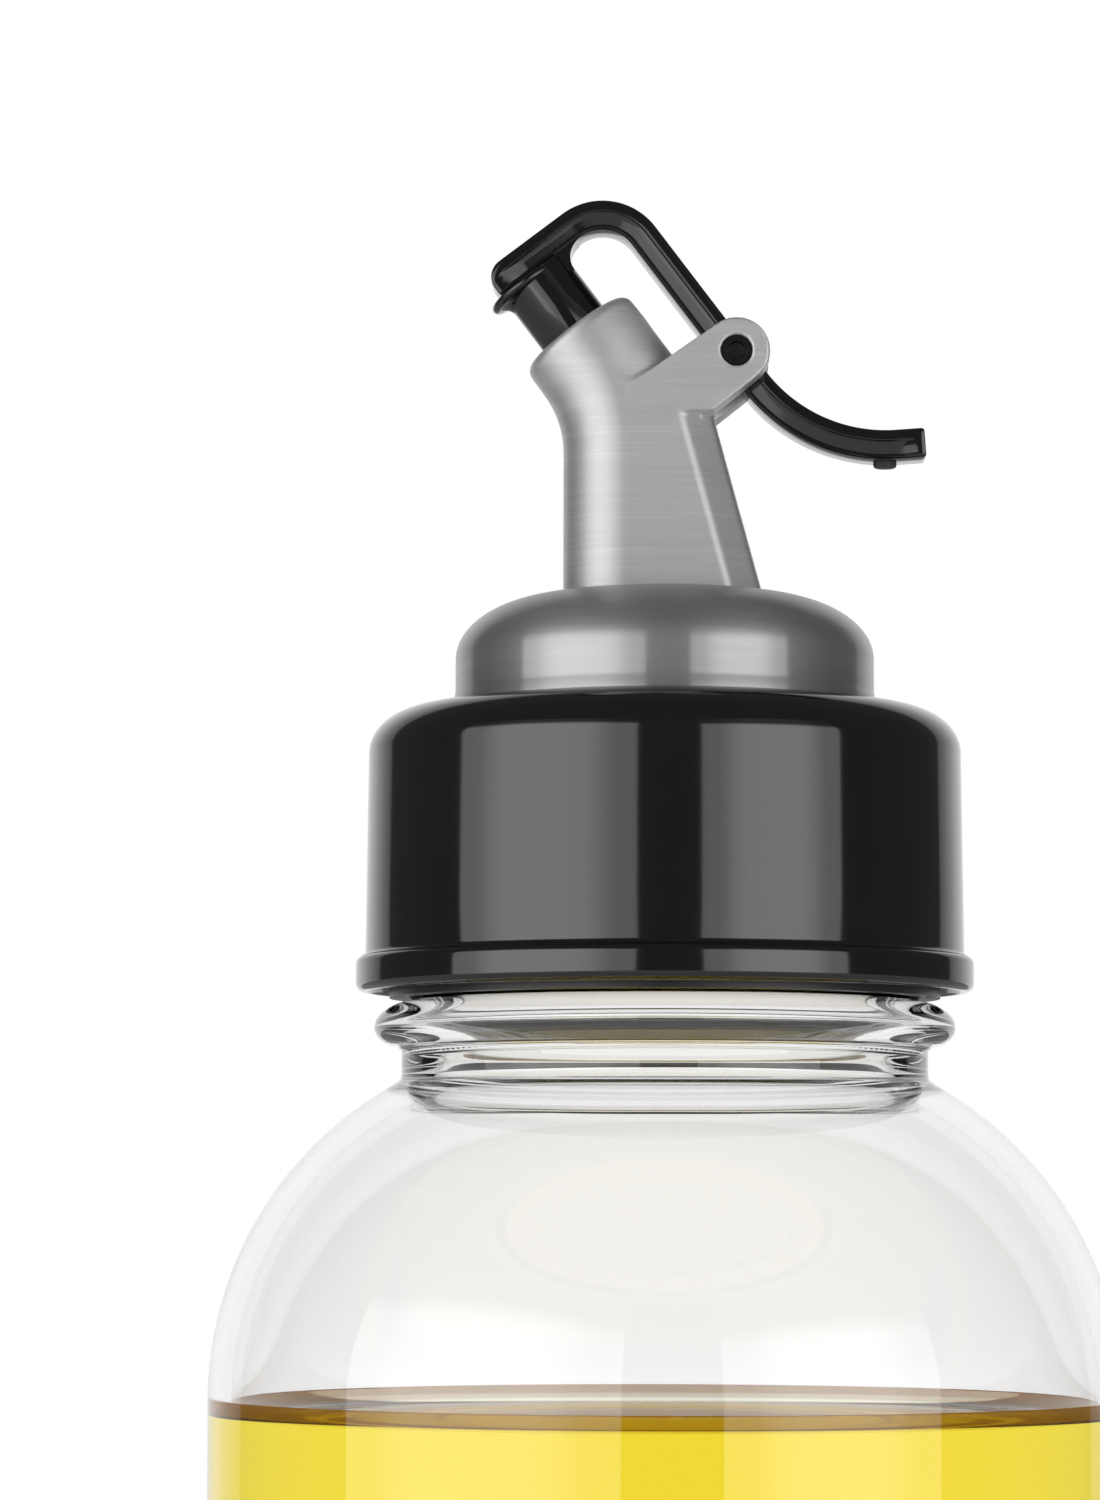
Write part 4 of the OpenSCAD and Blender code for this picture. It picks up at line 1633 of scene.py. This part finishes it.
    def build_pin(self) -> bpy.types.Object:
        """Turns the pivot pin, with a ring and a dimple in each end.

        Returns:
            The pin, at the pivot.
        """
        half, r = self.pin_half, self.pin_r
        end = [(r, half - 0.15), (r - 0.15, half), (1.14, half), (1.04, half + 0.1)]
        end += [(0.92, half + 0.1), (0.8, half - 0.35), (0.0, half - 0.4)]
        pin = Bench.turned("pivot_pin", self._mirrored(end), 64, 35)
        return Bench.settle(pin, self.layout.axle)

    def build_bumper(self) -> bpy.types.Object:
        """Turns the small foot under the tail.

        Returns:
            The bumper, at the tail.
        """
        low = self.tail_c.z - self.tail_r - self.thick / 2
        foot = low - self.bumper_h
        profile = [(0.0, foot), (0.9, foot), (1.1, low - 0.52), (1.18, low - 0.3)]
        profile += [(1.18, low + 0.3), (0.0, low + 0.3)]
        bumper = Bench.turned("tail_bumper_foot", profile, 48, 40)
        return Bench.settle(bumper, Matrix.Translation((self.tail_c.x * MM, 0, 0)))

    def dress(self, paint: Paint) -> None:
        """Mounts the strap, the stopper, the bumper and the pin, which stays with the spout.

        Args:
            paint: The maker of finishes.
        """
        paint.mount(self.build_strap(), "lever", Kit.GLOSS, "lever_arm")
        paint.mount(self.build_stopper(), "lever", Kit.GLOSS, "stopper_plug", "stopper_pad")
        paint.mount(self.build_bumper(), "lever", Kit.BLACK_RUBBER, "tail_bumper")
        paint.mount(self.build_pin(), "pourer", Kit.PIN, "lever_pin")


# ---------------------------------------------------------------- studio


@dataclass
class Studio:
    """The camera, the lamps, the floor and the white surround."""

    distance: float = 0.520
    eye_z: float = 0.1335
    tilt_up: float = 5.0
    turn_left: float = 1.267
    roll: float = 0.111
    focal_px: float = 5200.0
    frame_px: float = 1500.0
    sensor: float = 36.0
    floor_r: float = 1.1
    floor_gap: float = 0.0004
    panel_z: float = 0.22
    aim_z: float = 0.2
    step_span: Point2 = (0.655, 0.667)
    step_levels: Point2 = (0.09, 0.42)
    wash_span: Point2 = (0.667, 0.88)
    wash_levels: Point2 = (0.0, 0.58)
    fill: float = 0.35

    def camera(self) -> None:
        """Stands the camera at the height of the bottle's shoulder, looking slightly up."""
        data = bpy.data.cameras.new("camera")
        data.sensor_width = self.sensor
        data.lens = self.sensor * self.focal_px / self.frame_px
        data.clip_start = 0.01
        camera = bpy.data.objects.new("camera", data)
        turn = Matrix.Rotation(math.radians(self.turn_left), 4, "Z")
        tip = Matrix.Rotation(math.radians(90 + self.tilt_up), 4, "X")
        level = Matrix.Rotation(math.radians(self.roll), 4, "Z")
        spot = Matrix.Translation((0, -self.distance, self.eye_z))
        camera.matrix_world = spot @ turn @ tip @ level
        bpy.context.scene.collection.objects.link(camera)
        bpy.context.scene.camera = camera

    def panel(self, name: str, azimuth: float, size: Point2, fade_from: float) -> None:
        """Stands a soft panel a metre away that faces the bottle.

        Args:
            name: The panel's name.
            azimuth: Degrees from the viewer, positive to the right.
            size: Width and height.
            fade_from: Where it starts to fade upwards, as a share of its height over its middle.
        """
        a = math.radians(azimuth)
        spot = Vector((math.sin(a), -math.cos(a), self.panel_z))
        Bench.clear()
        bpy.ops.mesh.primitive_plane_add(size=1.0)
        panel = bpy.context.object
        panel.name = name
        way = Vector((0, 0, self.aim_z)) - spot
        facing = way.to_track_quat("Z", "Y").to_matrix().to_4x4()
        panel.matrix_world = Matrix.Translation(spot) @ facing
        panel.scale = (*size, 1)
        panel.data.materials.append(PanelGlow(name, fade_from=fade_from).make())
        panel.visible_camera = False
        panel.visible_transmission = False

    def floor(self) -> None:
        """Lays a pale floor that keeps the shadow and is otherwise near the surround's white."""
        Bench.clear()
        bpy.ops.mesh.primitive_circle_add(
            vertices=96, radius=self.floor_r, fill_type="NGON", location=(0, 0, -self.floor_gap)
        )
        floor = bpy.context.object
        floor.name = "floor"
        floor.data.materials.append(PaleFloor("pale_floor").make())

    def surround(self) -> None:
        """Makes the surround white to the eye and through glass, and bright behind in gloss."""
        world = bpy.data.worlds.new("studio")
        bpy.context.scene.world = world
        sheet = Sheet(world)
        ahead = sheet.axis(sheet.add("TexCoord", out="Generated"), "Y")
        behind = sheet.ramp(ahead, self.step_span, self.step_levels)
        behind = behind + sheet.ramp(ahead, self.wash_span, self.wash_levels)
        camera, through, gloss = (
            sheet.ray(f"Is {kind} Ray") for kind in ("Camera", "Transmission", "Glossy")
        )
        depth = sheet.ray("Transmission Depth")
        inside = sheet.add("Math", {0: depth, 1: 1.0}, operation="MINIMUM")
        seen = camera + through - camera * through
        behind = behind + (1 - behind) * inside
        level = seen + (1 - seen) * (gloss * behind + (1 - gloss) * self.fill)
        shade = sheet.add("Background", {"Color": WHITE, "Strength": level})
        sheet.add("OutputWorld", {"Surface": shade})

    def build(self) -> None:
        """Sets the whole studio up."""
        self.camera()
        self.floor()
        self.surround()
        self.panel("left_panel", -46.9, (1.49, 1.3), 0.24)
        self.panel("right_panel", 42.0, (1.065, 1.3), 0.17)
        bpy.context.scene.view_settings.view_transform = "Standard"


# ---------------------------------------------------------------- main


KEPT_NODES: dict[str, Kit] = {
    "neck_gasket": Kit.PALE_RUBBER,
    "thread_ring": Kit.SATIN,
    "pour_insert": Kit.PALE_PLASTIC,
    "plug_seal": Kit.PALE_RUBBER,
    "spout_nut": Kit.PLAIN_STEEL,
    "mouth_seat": Kit.SATIN,
    "lever_spring": Kit.PLAIN_STEEL,
}


def main() -> None:
    """Builds the studio and every piece, in order."""
    logging.basicConfig(level=logging.INFO, format="%(name)s: %(message)s")
    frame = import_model()
    Studio().build()
    paint = Paint()
    for assembly in (Bottle(), Collar(), Dome(), Spout(), Lever()):
        assembly.dress(paint)
    for node, finish in KEPT_NODES.items():
        paint.on(frame["nodes"][node], finish)
        LOG.info("%s: packed node, dressed in %s", node, finish.name)


if __name__ == "__main__":
    main()
